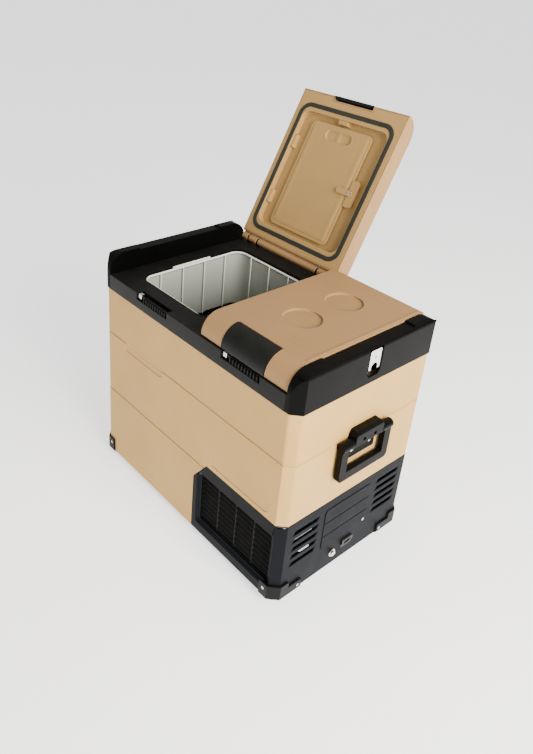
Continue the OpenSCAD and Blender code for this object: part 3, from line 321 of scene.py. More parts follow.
def cast(name, node, material, body, slot, radius, **shape):
    """A moulding on its body, in place of the CAD node it was made from."""
    return mount(moulding(name, node, material, radius, **shape), body, slot, node)


shell_tan = plastic("tan_shell", (0.54, 0.325, 0.102), (0.48, 0.285, 0.085), 0.55, pit=0.0014,
                    depth=0.00012, rub=0.25, rubbed=(0.70, 0.52, 0.30), dust=0.04)


def shell_radius(middle, along):
    return 0.004 if abs(along.z) > 0.9 and middle.z > 0.21 else 0.0012


cast("shell", "cabinet_shell", shell_tan, "cabinet", "tan_shell", shell_radius, steps=3, broad=True)


# ------------------------------------------------------------------ rim and its pocket combs
# The black ABS rim frames both openings, holds the gaskets' lips and the basket ledges.
# Grained by spark erosion; a comb of thin ribs on each latch pocket's floor stops sink marks.

black_grain = plastic("black_grain", (0.0030, 0.0032, 0.0032), (0.0050, 0.0052, 0.0050), 0.42, pit=0.0012,
                      depth=0.00016, rub=0.4, rubbed=(0.03, 0.03, 0.031), dust=0.02, level=0.1)
cast("rim", "top_rim", black_grain, "cabinet", "black_plastic", 0.0009)


def geo_tree(name, inputs):
    """A Geometry Nodes tree with named inputs (name to socket kind); returns it with its input node."""
    tree = bpy.data.node_groups.new(name, "GeometryNodeTree")
    tree.interface.new_socket("Geometry", in_out="INPUT", socket_type="NodeSocketGeometry")
    for key, kind in inputs.items():
        tree.interface.new_socket(key, in_out="INPUT", socket_type="NodeSocket" + kind)
    tree.interface.new_socket("Geometry", in_out="OUTPUT", socket_type="NodeSocketGeometry")
    return tree, tree.nodes.new("NodeGroupInput").outputs


def geo_finish(tree, parts, material, **moves):
    """Joins the parts, moves them if asked, realizes them, sets the material and closes the tree."""
    joined = tree.nodes.new("GeometryNodeJoinGeometry")
    for part in parts:
        tree.links.new(part.outputs[0], joined.inputs[0])
    if moves:
        joined = moved(tree, wire(tree, "GeometryNodeRealizeInstances", {0: joined}), **moves)
    real = wire(tree, "GeometryNodeRealizeInstances", {0: joined})
    wire(tree, "NodeGroupOutput", {0: wire(tree, "GeometryNodeSetMaterial", {
        "Geometry": real, "Material": material})})


def sweep(tree, path, profile):
    return wire(tree, "GeometryNodeCurveToMesh", {
        "Curve": path, "Profile Curve": profile, "Fill Caps": True})


def ring_profile(tree, radius, sides=12):
    return wire(tree, "GeometryNodeCurvePrimitiveCircle", {"Radius": radius, "Resolution": sides})


def grown_by(name, tree, values, base=None):
    """A new object that the tree makes from an empty or a given mesh, with the modifier applied."""
    made = linked(name, base or bpy.data.meshes.new(name))
    grow = made.modifiers.new("made", "NODES")
    grow.node_group = tree
    for item in tree.interface.items_tree:
        if item.in_out == "INPUT" and item.name in values:
            grow[item.identifier] = values[item.name]
    made.data.update()
    return smoothed(settled(made))


def filleted(tree, curve, radius, count):
    inputs = {"Curve": curve, "Radius": radius, "Count": count}
    return wire(tree, "GeometryNodeFilletCurve", inputs, mode="POLY")


def rectangle(tree, width, height, radius=None, count=3):
    """A rectangular curve round the origin, with filleted corners when a radius is given."""
    outline = wire(tree, "GeometryNodeCurvePrimitiveQuadrilateral", {"Width": width, "Height": height})
    return outline if radius is None else filleted(tree, outline, radius, count)


def straight(tree, start, end):
    return wire(tree, "GeometryNodeCurvePrimitiveLine", {"Start": start, "End": end})


def point(tree, **parts):
    """A vector from X, Y and Z values or sockets; the ones left out are zero."""
    return wire(tree, "ShaderNodeCombineXYZ", parts)


def moved(tree, geometry, **change):
    return wire(tree, "GeometryNodeTransform", {"Geometry": geometry, **change})


def repeated(tree, points, piece, **placing):
    return wire(tree, "GeometryNodeInstanceOnPoints", {"Points": points, "Instance": piece, **placing})


# A row of ribs with rounded ends: a filleted outline swept upwards and repeated on a line
rib_row, given = geo_tree("rib_row", {
    "Start": "Vector", "Step": "Vector", "Count": "Int", "Length": "Float", "Width": "Float",
    "Height": "Float", "Fillet": "Float", "Turn": "Rotation", "Material": "Material"})
outline = rectangle(rib_row, given["Length"], given["Width"], given["Fillet"])
rib = sweep(rib_row, straight(rib_row, (0, 0, 0), point(rib_row, Z=given["Height"])), outline)
points = wire(rib_row, "GeometryNodeMeshLine", {
    "Count": given["Count"], "Start Location": given["Start"], "Offset": given["Step"]})
geo_finish(rib_row, [repeated(rib_row, points, rib, Rotation=given["Turn"])], given["Material"])

latch_pockets = ("left", -0.1175), ("right", 0.1555)
for side, middle in latch_pockets:
    comb = grown_by("comb_" + side, rib_row, {
        "Start": (middle - 0.028, -0.1911, 0.481), "Step": (0.008, 0, 0), "Count": 10, "Length": 0.0022,
        "Width": 0.0044, "Height": 0.0102, "Fillet": 0.0008, "Material": black_grain})
    mount(comb, "cabinet", "black_plastic")


# ------------------------------------------------------------------ end caps
# Thick black ABS caps close the rim's ends and stand as high as the lids.
# They snap on from above; the left one's ribs face the open compartment.

cap_black = plastic("cap_black", (0.0014, 0.0015, 0.0015), (0.0023, 0.0024, 0.0024), 0.34, pit=0.0015,
                    depth=0.00018, rub=0.5, rubbed=(0.03, 0.03, 0.031), dust=0.01, level=0.04)
for side in ("left", "right"):
    cast("cap_" + side, "end_cap_" + side, cap_black, "cabinet", "black_plastic", 0.0018, steps=3)


# ------------------------------------------------------------------ compartment liners
# Thin vacuum-formed sheets of grey-green polystyrene with large corner radii.
# They hang from the rim's ledge and the foam is poured behind them.

liner_grey = plastic("liner_grey", (0.36, 0.375, 0.33), (0.32, 0.335, 0.29), 0.3, pit=0.003, depth=0.00004,
                     rub=0.1, rubbed=(0.5, 0.5, 0.46), dust=0.03, coat=0.15)
for side in ("left", "right"):
    cast("tub_" + side, "liner_" + side, liner_grey, "cabinet", "liner_plastic", 0.0006)


# ------------------------------------------------------------------ light lenses
# Frosted polycarbonate bars over a strip of diodes, pressed into the compartments' end walls.
# The faint squares are the diodes that lie behind the frosting.

lens_white, tree = new_material("frosted_lens")
at = wire(tree, "ShaderNodeTexCoord").outputs["Object"]
along = wire(tree, "ShaderNodeSeparateXYZ", {"Vector": at}).outputs["Y"]
beat = calc(tree, "SINE", calc(tree, "MULTIPLY", along, 420.0))
spot = calc(tree, "MULTIPLY_ADD", beat, 0.5, 0.5, clamp=True)
frost = noise(tree, 0.0008, 3.0)
coated(tree, {
    "Base Color": mixed(tree, spot, (0.66, 0.68, 0.62, 1), (0.80, 0.81, 0.74, 1)),
    "Roughness": calc(tree, "MULTIPLY_ADD", frost, 0.2, 0.25), "Normal": bumped(tree, frost, 0.00004),
    "Subsurface Weight": 0.3, "Subsurface Scale": 0.002})
cast("lens_bars", "light_lenses", lens_white, "cabinet", "lens", 0.0005)


# ------------------------------------------------------------------ foam and evaporator
# Poured polyurethane foam fills the walls and both lids; copper tube is wound round the liners in it.
# All of it is shut away behind the shells.


def carried(node, material):
    """A CAD node kept as it is, with a material on its slots."""
    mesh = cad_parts[node].data
    mesh.materials.clear()
    mesh.materials.append(material)


foam_cream, tree = new_material("poured_foam")
cells = wire(tree, "ShaderNodeTexVoronoi", {"Vector": scaled_place(tree, 0.0012), "Scale": 1.0})
coated(tree, {
    "Base Color": mixed(tree, noise(tree, 0.02, 4.0), (0.62, 0.50, 0.27, 1), (0.72, 0.62, 0.38, 1)),
    "Roughness": calc(tree, "MULTIPLY_ADD", cells.outputs["Distance"], 0.2, 0.75),
    "Normal": bumped(tree, cells.outputs["Distance"], 0.0004)})
for node in ("insulation_foam", "lid_foam_left", "lid_foam_right"):
    carried(node, foam_cream)

# Drawn or machined metal: fine lines along one axis and blotches of tarnish
metal_finish, given, out = new_group(
    "metal_finish", {"Colour": (0.7, 0.7, 0.7, 1), "Tarnish": (0.4, 0.4, 0.4, 1), "Line Size": 0.0003,
                     "Roughness": 0.25, "Tarnish Amount": 0.3},
    {"Colour": "NodeSocketColor", "Roughness": "NodeSocketFloat", "Height": "NodeSocketFloat"})
spot = scaled_place(metal_finish, given.outputs["Line Size"])
drawn = wire(metal_finish, "ShaderNodeVectorMath", {0: spot, 1: (1.0, 0.02, 1.0)}, operation="MULTIPLY")
lines = wire(metal_finish, "ShaderNodeTexNoise", {
    "Vector": drawn, "Scale": 1.0, "Detail": 2.0}).outputs["Fac"]
blotch = calc(metal_finish, "MULTIPLY_ADD", noise(metal_finish, 0.008, 6.0), 3.0, -1.2, clamp=True)
stain = calc(metal_finish, "MULTIPLY", blotch, given.outputs["Tarnish Amount"])
metal_finish.links.new(mixed(metal_finish, stain, given.outputs["Colour"], given.outputs["Tarnish"]),
                       out.inputs["Colour"])
gloss = calc(metal_finish, "MULTIPLY_ADD", lines, 0.14, given.outputs["Roughness"])
metal_finish.links.new(calc(metal_finish, "MULTIPLY_ADD", stain, 0.3, gloss, clamp=True),
                       out.inputs["Roughness"])
metal_finish.links.new(lines, out.inputs["Height"])


def metal(name, colour, tarnish, rough=0.2, amount=0.3, line=0.0003, depth=0.00001):
    """Bare or plated metal with drawn lines and tarnish."""
    made, tree = new_material(name)
    skin = group_node(tree, metal_finish, {
        "Colour": (*colour, 1), "Tarnish": (*tarnish, 1), "Line Size": line, "Roughness": rough,
        "Tarnish Amount": amount})
    coated(tree, {
        "Base Color": skin.outputs["Colour"], "Roughness": skin.outputs["Roughness"], "Metallic": 1.0,
        "Normal": bumped(tree, skin.outputs["Height"], depth)})
    return made


carried("evaporator_tubes", metal("copper_tube", (0.72, 0.36, 0.22), (0.30, 0.16, 0.10), 0.25, 0.6))


# ------------------------------------------------------------------ wire baskets
# Welded steel wire dipped in white epoxy. A thick rim wire hangs on the ledge, and U-shaped
# wires cross under the food both ways; each is bent with a small radius where it turns up.

epoxy_white = plastic("epoxy_white", (0.74, 0.75, 0.69), (0.68, 0.69, 0.63), 0.25, pit=0.0025, depth=0.00005,
                      rub=0.2, rubbed=(0.5, 0.5, 0.46), dust=0.03, coat=0.3)
wire_basket, given = geo_tree("wire_basket", {
    "Centre": "Vector", "Width": "Float", "Depth": "Float", "Drop": "Float", "Inset": "Float",
    "Corner": "Float", "Across": "Int", "Along": "Int", "Pitch": "Float", "Rim Radius": "Float",
    "Wire Radius": "Float", "Material": "Material"})
thick = ring_profile(wire_basket, given["Rim Radius"], 16)
middling = ring_profile(wire_basket, calc(wire_basket, "MULTIPLY", given["Rim Radius"], 0.68))
thin = ring_profile(wire_basket, given["Wire Radius"])
inset = calc(wire_basket, "MULTIPLY", given["Inset"], 2.0)
inner_w = calc(wire_basket, "SUBTRACT", given["Width"], inset)
inner_d = calc(wire_basket, "SUBTRACT", given["Depth"], inset)
parts = []
for wide, deep, profile, drop in (
        (given["Width"], given["Depth"], thick, 0.0), (inner_w, inner_d, middling, -1.0)):
    loop = rectangle(wire_basket, wide, deep, given["Corner"], 12)
    low = point(wire_basket, Z=calc(wire_basket, "MULTIPLY", given["Drop"], drop))
    parts.append(moved(wire_basket, sweep(wire_basket, loop, profile), Translation=low))
for turned, deep, count in ((False, inner_d, given["Across"]), (True, inner_w, given["Along"])):
    half_deep = calc(wire_basket, "MULTIPLY", deep, 0.5)
    other = calc(wire_basket, "MULTIPLY", half_deep, -1.0)
    bottom = calc(wire_basket, "MULTIPLY", given["Drop"], -1.0)
    corners = [point(wire_basket, **{"X" if turned else "Y": a, "Z": b})
               for a, b in ((other, 0.0), (other, bottom), (half_deep, bottom), (half_deep, 0.0))]
    u_wire = wire(wire_basket, "GeometryNodeCurvePrimitiveQuadrilateral",
                  {"Point " + str(k + 1): corner for k, corner in enumerate(corners)}, mode="POINTS")
    u_wire = wire(wire_basket, "GeometryNodeSetSplineCyclic", {"Geometry": u_wire, "Cyclic": False})
    u_mesh = sweep(wire_basket, filleted(wire_basket, u_wire, 0.007, 5), thin)
    gaps = calc(wire_basket, "SUBTRACT", count, 1.0)
    begin = calc(wire_basket, "MULTIPLY", calc(wire_basket, "MULTIPLY", gaps, given["Pitch"]), -0.5)
    axis = "Y" if turned else "X"
    line = wire(wire_basket, "GeometryNodeMeshLine", {
        "Count": count, "Start Location": point(wire_basket, **{axis: begin}),
        "Offset": point(wire_basket, **{axis: given["Pitch"]})})
    parts.append(repeated(wire_basket, line, u_mesh))
geo_finish(wire_basket, parts, given["Material"], Translation=given["Centre"])

for side, middle, wide, low, across, body in (
        ("left", -0.118, 0.220, 0.0703, 3, "basket"), ("right", 0.156, 0.144, 0.2603, 2, "cabinet")):
    top = 0.4898
    basket = grown_by("wires_" + side, wire_basket, {
        "Centre": (middle, 0, top), "Width": wide, "Depth": 0.280, "Drop": top - low, "Inset": 0.0038,
        "Corner": 0.0255, "Across": across, "Along": 4, "Pitch": 0.062, "Rim Radius": 0.0025,
        "Wire Radius": 0.0014, "Material": epoxy_white})
    mount(basket, body, "white_wire", "basket_" + side)


# ------------------------------------------------------------------ machine housing
# Slate grey ABS shroud round the machine bay with louvred ends and two grille openings.
# It slides up from below and screws to the pan and the bulkhead.

slate = plastic("slate_grain", (0.0026, 0.0033, 0.0052), (0.0038, 0.0047, 0.0070), 0.46, pit=0.0010,
                depth=0.00012, rub=0.4, rubbed=(0.030, 0.034, 0.042), dust=0.01, level=0.05)
cast("housing", "compressor_housing", slate, "cabinet", "slate_plastic", 0.0009)

painted_grey = plastic("painted_grey", (0.030, 0.033, 0.039), (0.040, 0.043, 0.049), 0.5, pit=0.002,
                       depth=0.00006, rub=0.5, rubbed=(0.30, 0.30, 0.30), dust=0.15)
for name, node in (("bulkhead", "bay_bulkhead"), ("pan", "base_pan")):
    cast(name, node, painted_grey, "cabinet", "slate_plastic", 0.0008)


# ------------------------------------------------------------------ side grilles
# Black ABS louvre panels: a frame, leaning slats and three flat uprights behind them.
# They clip into the sloped recesses on both long sides of the bay.

louvre, given = geo_tree("louvre_panel", {
    "Centre": "Vector", "Turn": "Rotation", "Width": "Float", "Height": "Float", "Thickness": "Float",
    "Frame": "Float", "Rows": "Int", "Columns": "Int", "Slat Depth": "Float", "Slat Thickness": "Float",
    "Lean": "Float", "Upright Width": "Float", "Material": "Material"})
edge_round = 0.0006
frame_path = rectangle(louvre, calc(louvre, "SUBTRACT", given["Width"], given["Frame"]),
                       calc(louvre, "SUBTRACT", given["Height"], given["Frame"]))
frame_section = rectangle(louvre, given["Frame"], given["Thickness"], edge_round)
standing = wire(louvre, "FunctionNodeEulerToRotation", {0: (math.pi / 2, 0, 0)})
border = moved(louvre, sweep(louvre, frame_path, frame_section), Rotation=standing)
leaning = wire(louvre, "FunctionNodeEulerToRotation", {0: point(louvre, Z=given["Lean"])})
slat_section = moved(
    louvre, rectangle(louvre, given["Slat Depth"], given["Slat Thickness"], edge_round), Rotation=leaning)
half_w = calc(louvre, "MULTIPLY", given["Width"], 0.5)
slat_line = straight(louvre, point(louvre, X=calc(louvre, "MULTIPLY", half_w, -1.0)), point(louvre, X=half_w))
slat = sweep(louvre, slat_line, slat_section)
pitch = calc(louvre, "DIVIDE", given["Height"], given["Rows"])
lowest = calc(louvre, "MULTIPLY_ADD", given["Height"], -0.5, pitch)
rows = wire(louvre, "GeometryNodeMeshLine", {
    "Count": calc(louvre, "SUBTRACT", given["Rows"], 1.0),
    "Start Location": point(louvre, Z=lowest), "Offset": point(louvre, Z=pitch)})
up_section = rectangle(louvre, given["Thickness"], given["Upright Width"], edge_round)
half_h = calc(louvre, "MULTIPLY", given["Height"], 0.5)
up_line = straight(louvre, point(louvre, Z=calc(louvre, "MULTIPLY", half_h, -1.0)), point(louvre, Z=half_h))
gap = calc(louvre, "DIVIDE", given["Width"], given["Columns"])
columns = wire(louvre, "GeometryNodeMeshLine", {
    "Count": calc(louvre, "SUBTRACT", given["Columns"], 1.0),
    "Start Location": point(louvre, X=calc(louvre, "MULTIPLY_ADD", given["Width"], -0.5, gap)),
    "Offset": point(louvre, X=gap)})
uprights = repeated(louvre, columns, sweep(louvre, up_line, up_section))
geo_finish(louvre, [border, repeated(louvre, rows, slat), uprights], given["Material"],
           Translation=given["Centre"], Rotation=given["Turn"])

for side, sign in (("front", -1), ("back", 1)):
    grille = grown_by("louvres_" + side, louvre, {
        "Centre": (0.169, sign * 0.181, 0.111), "Turn": (0, 0, 0 if sign < 0 else math.pi), "Width": 0.213,
        "Height": 0.123, "Thickness": 0.003, "Frame": 0.0045, "Rows": 9, "Columns": 4, "Slat Depth": 0.0064,
        "Slat Thickness": 0.002, "Lean": math.radians(35), "Upright Width": 0.003, "Material": black_grain})
    mount(grille, "cabinet", "black_plastic", "grille_" + side)


# ------------------------------------------------------------------ shade sheets
# A sheet of coarse black felt behind each grille, quilted by heat-sealed spots and held by the grille's frame.
# It is painted shade: a dark sheet that stands in for the shade inside the bay, so nothing bright shows between
# the slats.

# Painted shade: a near-black felt for the sheets that stand in for the shade inside the bay.
painted_shade_material, tree = new_material("filter_felt")
fibres = noise(tree, 0.0009, 5.0, Distortion=1.2)
coated(tree, {
    "Base Color": mixed(tree, fibres, (0.002, 0.002, 0.0022, 1), (0.009, 0.009, 0.0095, 1)),
    "Roughness": calc(tree, "MULTIPLY_ADD", fibres, 0.15, 0.8), "Specular IOR Level": 0.15,
    "Normal": bumped(tree, fibres, 0.0005)})


def sheet_border(wide, high):
    """The numbers of a grid's border points, in turn round it; points run up each column."""
    across = high + 1
    return ([i * across for i in range(wide + 1)] + [wide * across + j for j in range(1, across)]
            + [i * across + high for i in range(wide - 1, -1, -1)] + list(range(high - 1, 0, -1)))


def quilted_shade_sheet(name, x, z, y, out):
    """A quilted sheet over X and Z ranges; out is the side of Y that it faces."""
    rows, faces, wide, high = [], [], 84, 52
    for back in (0, 1):
        for i in range(wide + 1):
            for j in range(high + 1):
                px, pz = x[0] + (x[1] - x[0]) * i / wide, z[0] + (z[1] - z[0]) * j / high
                puff = 0.0009 * abs(math.sin(px * 210) * math.sin(pz * 210)) ** 0.6
                rows.append((px, y + out * ((0.0006 + puff) if not back else -0.0002), pz))
    across, sheet_size = high + 1, (wide + 1) * (high + 1)
    for i in range(wide):
        for j in range(high):
            a = i * across + j
            faces.append((a, a + across, a + across + 1, a + 1))
            faces.append(tuple(sheet_size + k for k in (a, a + 1, a + across + 1, a + across)))
    loop = sheet_border(wide, high)
    faces += [(b, a, sheet_size + a, sheet_size + b) for a, b in zip(loop, loop[1:] + loop[:1])]
    mesh = bpy.data.meshes.new(name)
    mesh.from_pydata(rows, [], faces)
    shape = bmesh.new()
    shape.from_mesh(mesh)
    bmesh.ops.recalc_face_normals(shape, faces=shape.faces)
    shape.to_mesh(mesh)
    shape.free()
    mesh.materials.append(painted_shade_material)
    return smoothed(linked(name, mesh))


# Each sheet is painted shade, a dark stand-in for the shade inside the bay behind its grille.
for side, sign in (("front", -1), ("back", 1)):
    mount(quilted_shade_sheet("felt_" + side, (0.060, 0.278), (0.047, 0.174), sign * 0.1755, sign), "cabinet",
          "black_plastic")


# ------------------------------------------------------------------ service cover
# A slate ABS hatch over the control board, split by two grooves into three bands.
# Tabs hold its left edge and one screw its lower right corner.

cast("hatch", "service_cover", slate, "cabinet", "slate_plastic", 0.0008)


# ------------------------------------------------------------------ screws
# Zinc-plated pan-head screws with a cross recess, each driven into its boss.
# The recess walls slope and the rim of each head is rolled.

bright_zinc = metal("bright_zinc", (0.80, 0.80, 0.78), (0.55, 0.53, 0.48), 0.16, 0.35, line=0.0002)


def screw_head(rings=18, spokes=64):
    """A head of radius 1 that stands on z = 0: a low dome with a cross-shaped recess."""
    rows = [(0, 0, 0.18)]
    for k in range(1, rings + 1):
        r = k / rings
        for s in range(spokes):
            a = 2 * math.pi * s / spokes
            x, y = r * math.cos(a), r * math.sin(a)
            arm = min(max(abs(x) - 0.13, abs(y) - 0.62), max(abs(y) - 0.13, abs(x) - 0.62))
            sunk = 0.34 * min(1.0, max(0.0, 0.5 - arm / 0.10))
            rows.append((x, y, 0.52 * math.sqrt(max(0.0, 1.0 - (0.92 * r) ** 4)) - sunk))
    for s in range(spokes):
        a = 2 * math.pi * s / spokes
        rows.append((math.cos(a), math.sin(a), 0.0))
    faces = [(0, 1 + s, 1 + (s + 1) % spokes) for s in range(spokes)]
    for k in range(rings):
        low = 1 + k * spokes
        faces += [(low + s, low + spokes + s, low + spokes + (s + 1) % spokes, low + (s + 1) % spokes)
                  for s in range(spokes)]
    mesh = bpy.data.meshes.new("screw_head")
    mesh.from_pydata(rows, [], faces)
    return bpy.data.objects.new("screw_head", mesh)


driven, given = geo_tree("driven_screws", {"Template": "Object", "Material": "Material"})
facing, size, turn = [
    wire(driven, "GeometryNodeInputNamedAttribute", {"Name": key}, data_type=kind)
    for key, kind in (("facing", "FLOAT_VECTOR"), ("size", "FLOAT"), ("turn", "FLOAT"))]
aimed = wire(driven, "FunctionNodeAlignRotationToVector", {"Vector": facing}, axis="Z")
turned = point(driven, Z=turn)
spun = wire(driven, "FunctionNodeRotateRotation", {0: aimed, 1: turned}, rotation_space="LOCAL")
shape = wire(driven, "GeometryNodeObjectInfo", {"Object": given["Template"]}).outputs["Geometry"]
geo_finish(driven, [repeated(driven, given["Geometry"], shape, Rotation=spun, Scale=size)], given["Material"])
template = screw_head()


def screws(name, places, material):
    """Screw heads from places: position, facing and head radius, all in metres."""
    points = bpy.data.meshes.new(name)
    points.from_pydata([p[0] for p in places], [], [])
    for key, kind, values in (("facing", "FLOAT_VECTOR", [p[1] for p in places]),
                              ("size", "FLOAT", [p[2] for p in places]),
                              ("turn", "FLOAT", [0.4 + 1.7 * k for k in range(len(places))])):
        layer = points.attributes.new(key, kind, "POINT")
        layer.data.foreach_set("vector" if kind == "FLOAT_VECTOR" else "value",
                               [c for v in values for c in (v if kind == "FLOAT_VECTOR" else (v,))])
    return grown_by(name, driven, {"Template": template, "Material": material}, points)


mount(screws("hatch_screw", [((0.3008, 0.060, 0.092), (1, 0, 0), 0.0036)], bright_zinc), "cabinet", "steel",
      "housing_screws")


# ------------------------------------------------------------------ power socket and fuse
# A hooded black 12 V inlet with two blades, and a nickel-plated fuse cap with a coin slot.
# Both are pressed into the housing under the hatch.

socket_black = plastic("socket_black", (0.007, 0.007, 0.0072), (0.010, 0.010, 0.010), 0.3, depth=0.00006,
                       rub=0.4, rubbed=(0.05, 0.05, 0.05))
cast("inlet", "power_socket", socket_black, "cabinet", "black_plastic", 0.0006)
nickel = metal("nickel_plate", (0.82, 0.80, 0.74), (0.60, 0.56, 0.48), 0.1, 0.25)
cast("fuse_cap", "fuse_holder", nickel, "cabinet", "steel", 0.0005)


# ------------------------------------------------------------------ corner guards and feet
# Tough black polyamide angles that take the knocks, with a countersunk screw in each arm.
# Grey-black rubber feet are pushed up into them.

guard_black = plastic("guard_black", (0.0030, 0.0032, 0.0034), (0.0048, 0.0050, 0.0052), 0.40, pit=0.0016,
                      depth=0.00014, rub=0.8, rubbed=(0.04, 0.04, 0.04), dust=0.02, level=0.08)
for corner in ("front_left", "front_right", "back_left", "back_right"):
    cast("guard_" + corner, "corner_guard_" + corner, guard_black, "cabinet", "black_plastic", 0.0014,
         steps=3)
corner_screws = []
for sx in (-1, 1):
    for sy in (-1, 1):
        corner_screws.append(((sx * 0.3022, sy * 0.127, 0.028), (sx, 0, 0), 0.0036))
        corner_screws.append(((sx * 0.273, sy * 0.1942, 0.040), (0, sy, 0), 0.0036))
mount(screws("corner_screws", corner_screws, bright_zinc), "cabinet", "steel", "guard_screws")
foot_rubber = plastic("foot_rubber", (0.012, 0.012, 0.012), (0.018, 0.018, 0.017), 0.75, pit=0.002,
                      depth=0.0001, rub=0.2, rubbed=(0.05, 0.05, 0.05), dust=0.35)
cast("feet", "rubber_feet", foot_rubber, "cabinet", "rubber", 0.0015, steps=3)


# ------------------------------------------------------------------ carrying handles
# Glass-filled black polyamide: a chamfered box with two moulding holes, screwed on by its flange.
# The square bail swings on two steel pins in round hubs.

handle_black = plastic("handle_black", (0.0014, 0.0017, 0.0017), (0.0024, 0.0027, 0.0027), 0.38, pit=0.0013,
                       depth=0.00014, rub=0.7, rubbed=(0.035, 0.037, 0.039), dust=0.01, level=0.05)
handle_screws = []
for side, sign in (("left", -1), ("right", 1)):
    cast("bracket_" + side, "handle_bracket_" + side, handle_black, "cabinet", "black_plastic", 0.0012,
         steps=3)
    cast("bail_" + side + "_grip", "handle_bail_" + side, handle_black, "bail_" + side, "black_plastic",
         0.0022, steps=3)
    handle_screws += [((sign * 0.3021, y, 0.319), (sign, 0, 0), 0.0042) for y in (-0.026, 0.026)]
mount(screws("bracket_screws", handle_screws, bright_zinc), "cabinet", "steel", "handle_screws")
turned_steel = metal("turned_steel", (0.62, 0.62, 0.61), (0.38, 0.35, 0.31), 0.22, 0.5)
cast("bail_pins", "handle_pins", turned_steel, "cabinet", "steel", 0.0006)


# ------------------------------------------------------------------ striker rods
# Steel rods across the rim's latch pockets; the latch hooks close over them.
# Their near-black colour is painted reflection: it stands in for the dark pocket mirrored in the steel, with some
# tarnish.
# A bright folded clip holds the left end of each one in the pocket's cheek.

# Near-black base colour: painted reflection of the dark pocket, not the steel's own colour.
black_oxide = metal("black_oxide", (0.035, 0.035, 0.036), (0.10, 0.07, 0.05), 0.35, 0.3)
cast("strikers", "striker_rods", black_oxide, "cabinet", "steel", 0.0004)
clip_steel = metal("clip_steel", (0.80, 0.79, 0.76), (0.45, 0.40, 0.33), 0.25, 0.5)
for side, middle in latch_pockets:
    clip = grown_by("clip_" + side, rib_row, {
        "Start": (middle - 0.048, -0.186, 0.4845), "Step": (0.0055, 0, 0), "Count": 2, "Length": 0.0050,
        "Width": 0.0086, "Height": 0.0092, "Fillet": 0.0014, "Material": clip_steel})
    mount(clip, "cabinet", "steel")


# ------------------------------------------------------------------ bottle opener
# A stamped stainless plate in the right cap's recess, with a lipped mouth at its lower end.
# One round-headed screw holds it.

stainless = metal("stainless", (0.86, 0.86, 0.84), (0.62, 0.60, 0.56), 0.13, 0.2, line=0.00025)
cast("opener_plate", "bottle_opener", stainless, "cabinet", "bright_steel", 0.0010, steps=3)
mount(screws("opener_fixing", [((0.3001, 0, 0.514), (1, 0, 0), 0.0037)], bright_zinc), "cabinet", "steel",
      "opener_screw")


# ------------------------------------------------------------------ hinges
# Black moulded ears on the rim hold long steel pins that run through the lids' barrels.

cast("hinge_ears", "hinge_brackets", black_grain, "cabinet", "black_plastic", 0.0010)
cast("hinge_axles", "hinge_pins", turned_steel, "cabinet", "steel", 0.0005)


# ------------------------------------------------------------------ lids
# Twin-skin tan ABS covers with a rounded front and back; a finer grain than the cabinet.
# The right one has two round cup wells, and each skin is welded to its inner panel.

lid_tan = plastic("lid_tan", (0.36, 0.205, 0.085), (0.32, 0.180, 0.072), 0.48, pit=0.0009, depth=0.00006,
                  rub=0.25, rubbed=(0.56, 0.39, 0.23), dust=0.05)
inner_tan = plastic("inner_tan", (0.42, 0.255, 0.090), (0.375, 0.225, 0.078), 0.40, pit=0.0010, depth=0.00005,
                    rub=0.25, rubbed=(0.62, 0.46, 0.27), dust=0.03)


def lid_radius(middle, along):
    return 0.0035 if middle.z > 0.5 and abs(along.x) < 0.5 else 0.0012


cast("cover_right", "lid_shell_right", lid_tan, "lid_right", "tan_lid", lid_radius, steps=4, broad=True)
cast("cover_left", "lid_shell_left", lid_tan, "lid_left", "tan_lid", 0.0016, steps=3)

# Low ribs pressed in the right lid's top: two across it, and a bead along its outer edge
crown, given = geo_tree("pressed_bead", {
    "Start": "Vector", "End": "Vector", "Radius": "Float", "Flatness": "Vector", "Count": "Int",
    "Step": "Vector", "Material": "Material"})
spine = straight(crown, given["Start"], given["End"])
spine = wire(crown, "GeometryNodeResampleCurve", {"Curve": spine, "Count": 40})
along = wire(crown, "GeometryNodeSplineParameter").outputs["Factor"]
taper = calc(crown, "POWER", calc(crown, "SINE", calc(crown, "MULTIPLY", along, math.pi)), 0.12)
spine = wire(crown, "GeometryNodeSetCurveRadius", {"Curve": spine, "Radius": taper})
bead = sweep(crown, spine, ring_profile(crown, given["Radius"], 20))
line = wire(crown, "GeometryNodeMeshLine", {"Count": given["Count"], "Offset": given["Step"]})
geo_finish(crown, [repeated(crown, line, bead, Scale=given["Flatness"])], given["Material"])
for name, start, end, step in (
        ("press_lines", (0.062, -0.104, 0.5384), (0.249, -0.104, 0.5384), (0, 0.250, 0)),
        ("side_bead", (0.2675, -0.140, 0.5384), (0.2675, 0.160, 0.5384), (0, 0, 0))):
    made = grown_by(name, crown, {
        "Start": start, "End": end, "Radius": 0.0020, "Flatness": (1, 1, 1), "Count": 2 if step[1] else 1,
        "Step": step, "Material": lid_tan})
    mount(made, "lid_right", "tan_lid")
for side in ("left", "right"):
    cast("panel_" + side, "lid_liner_" + side, inner_tan, "lid_" + side, "tan_lid", 0.0016, steps=3)


# ------------------------------------------------------------------ lid gaskets
# Soft black-green elastomer rings with a rounded back, seated in grooves of the inner panels.
# The extrusion's ends meet in a small welded joint by the hinge.

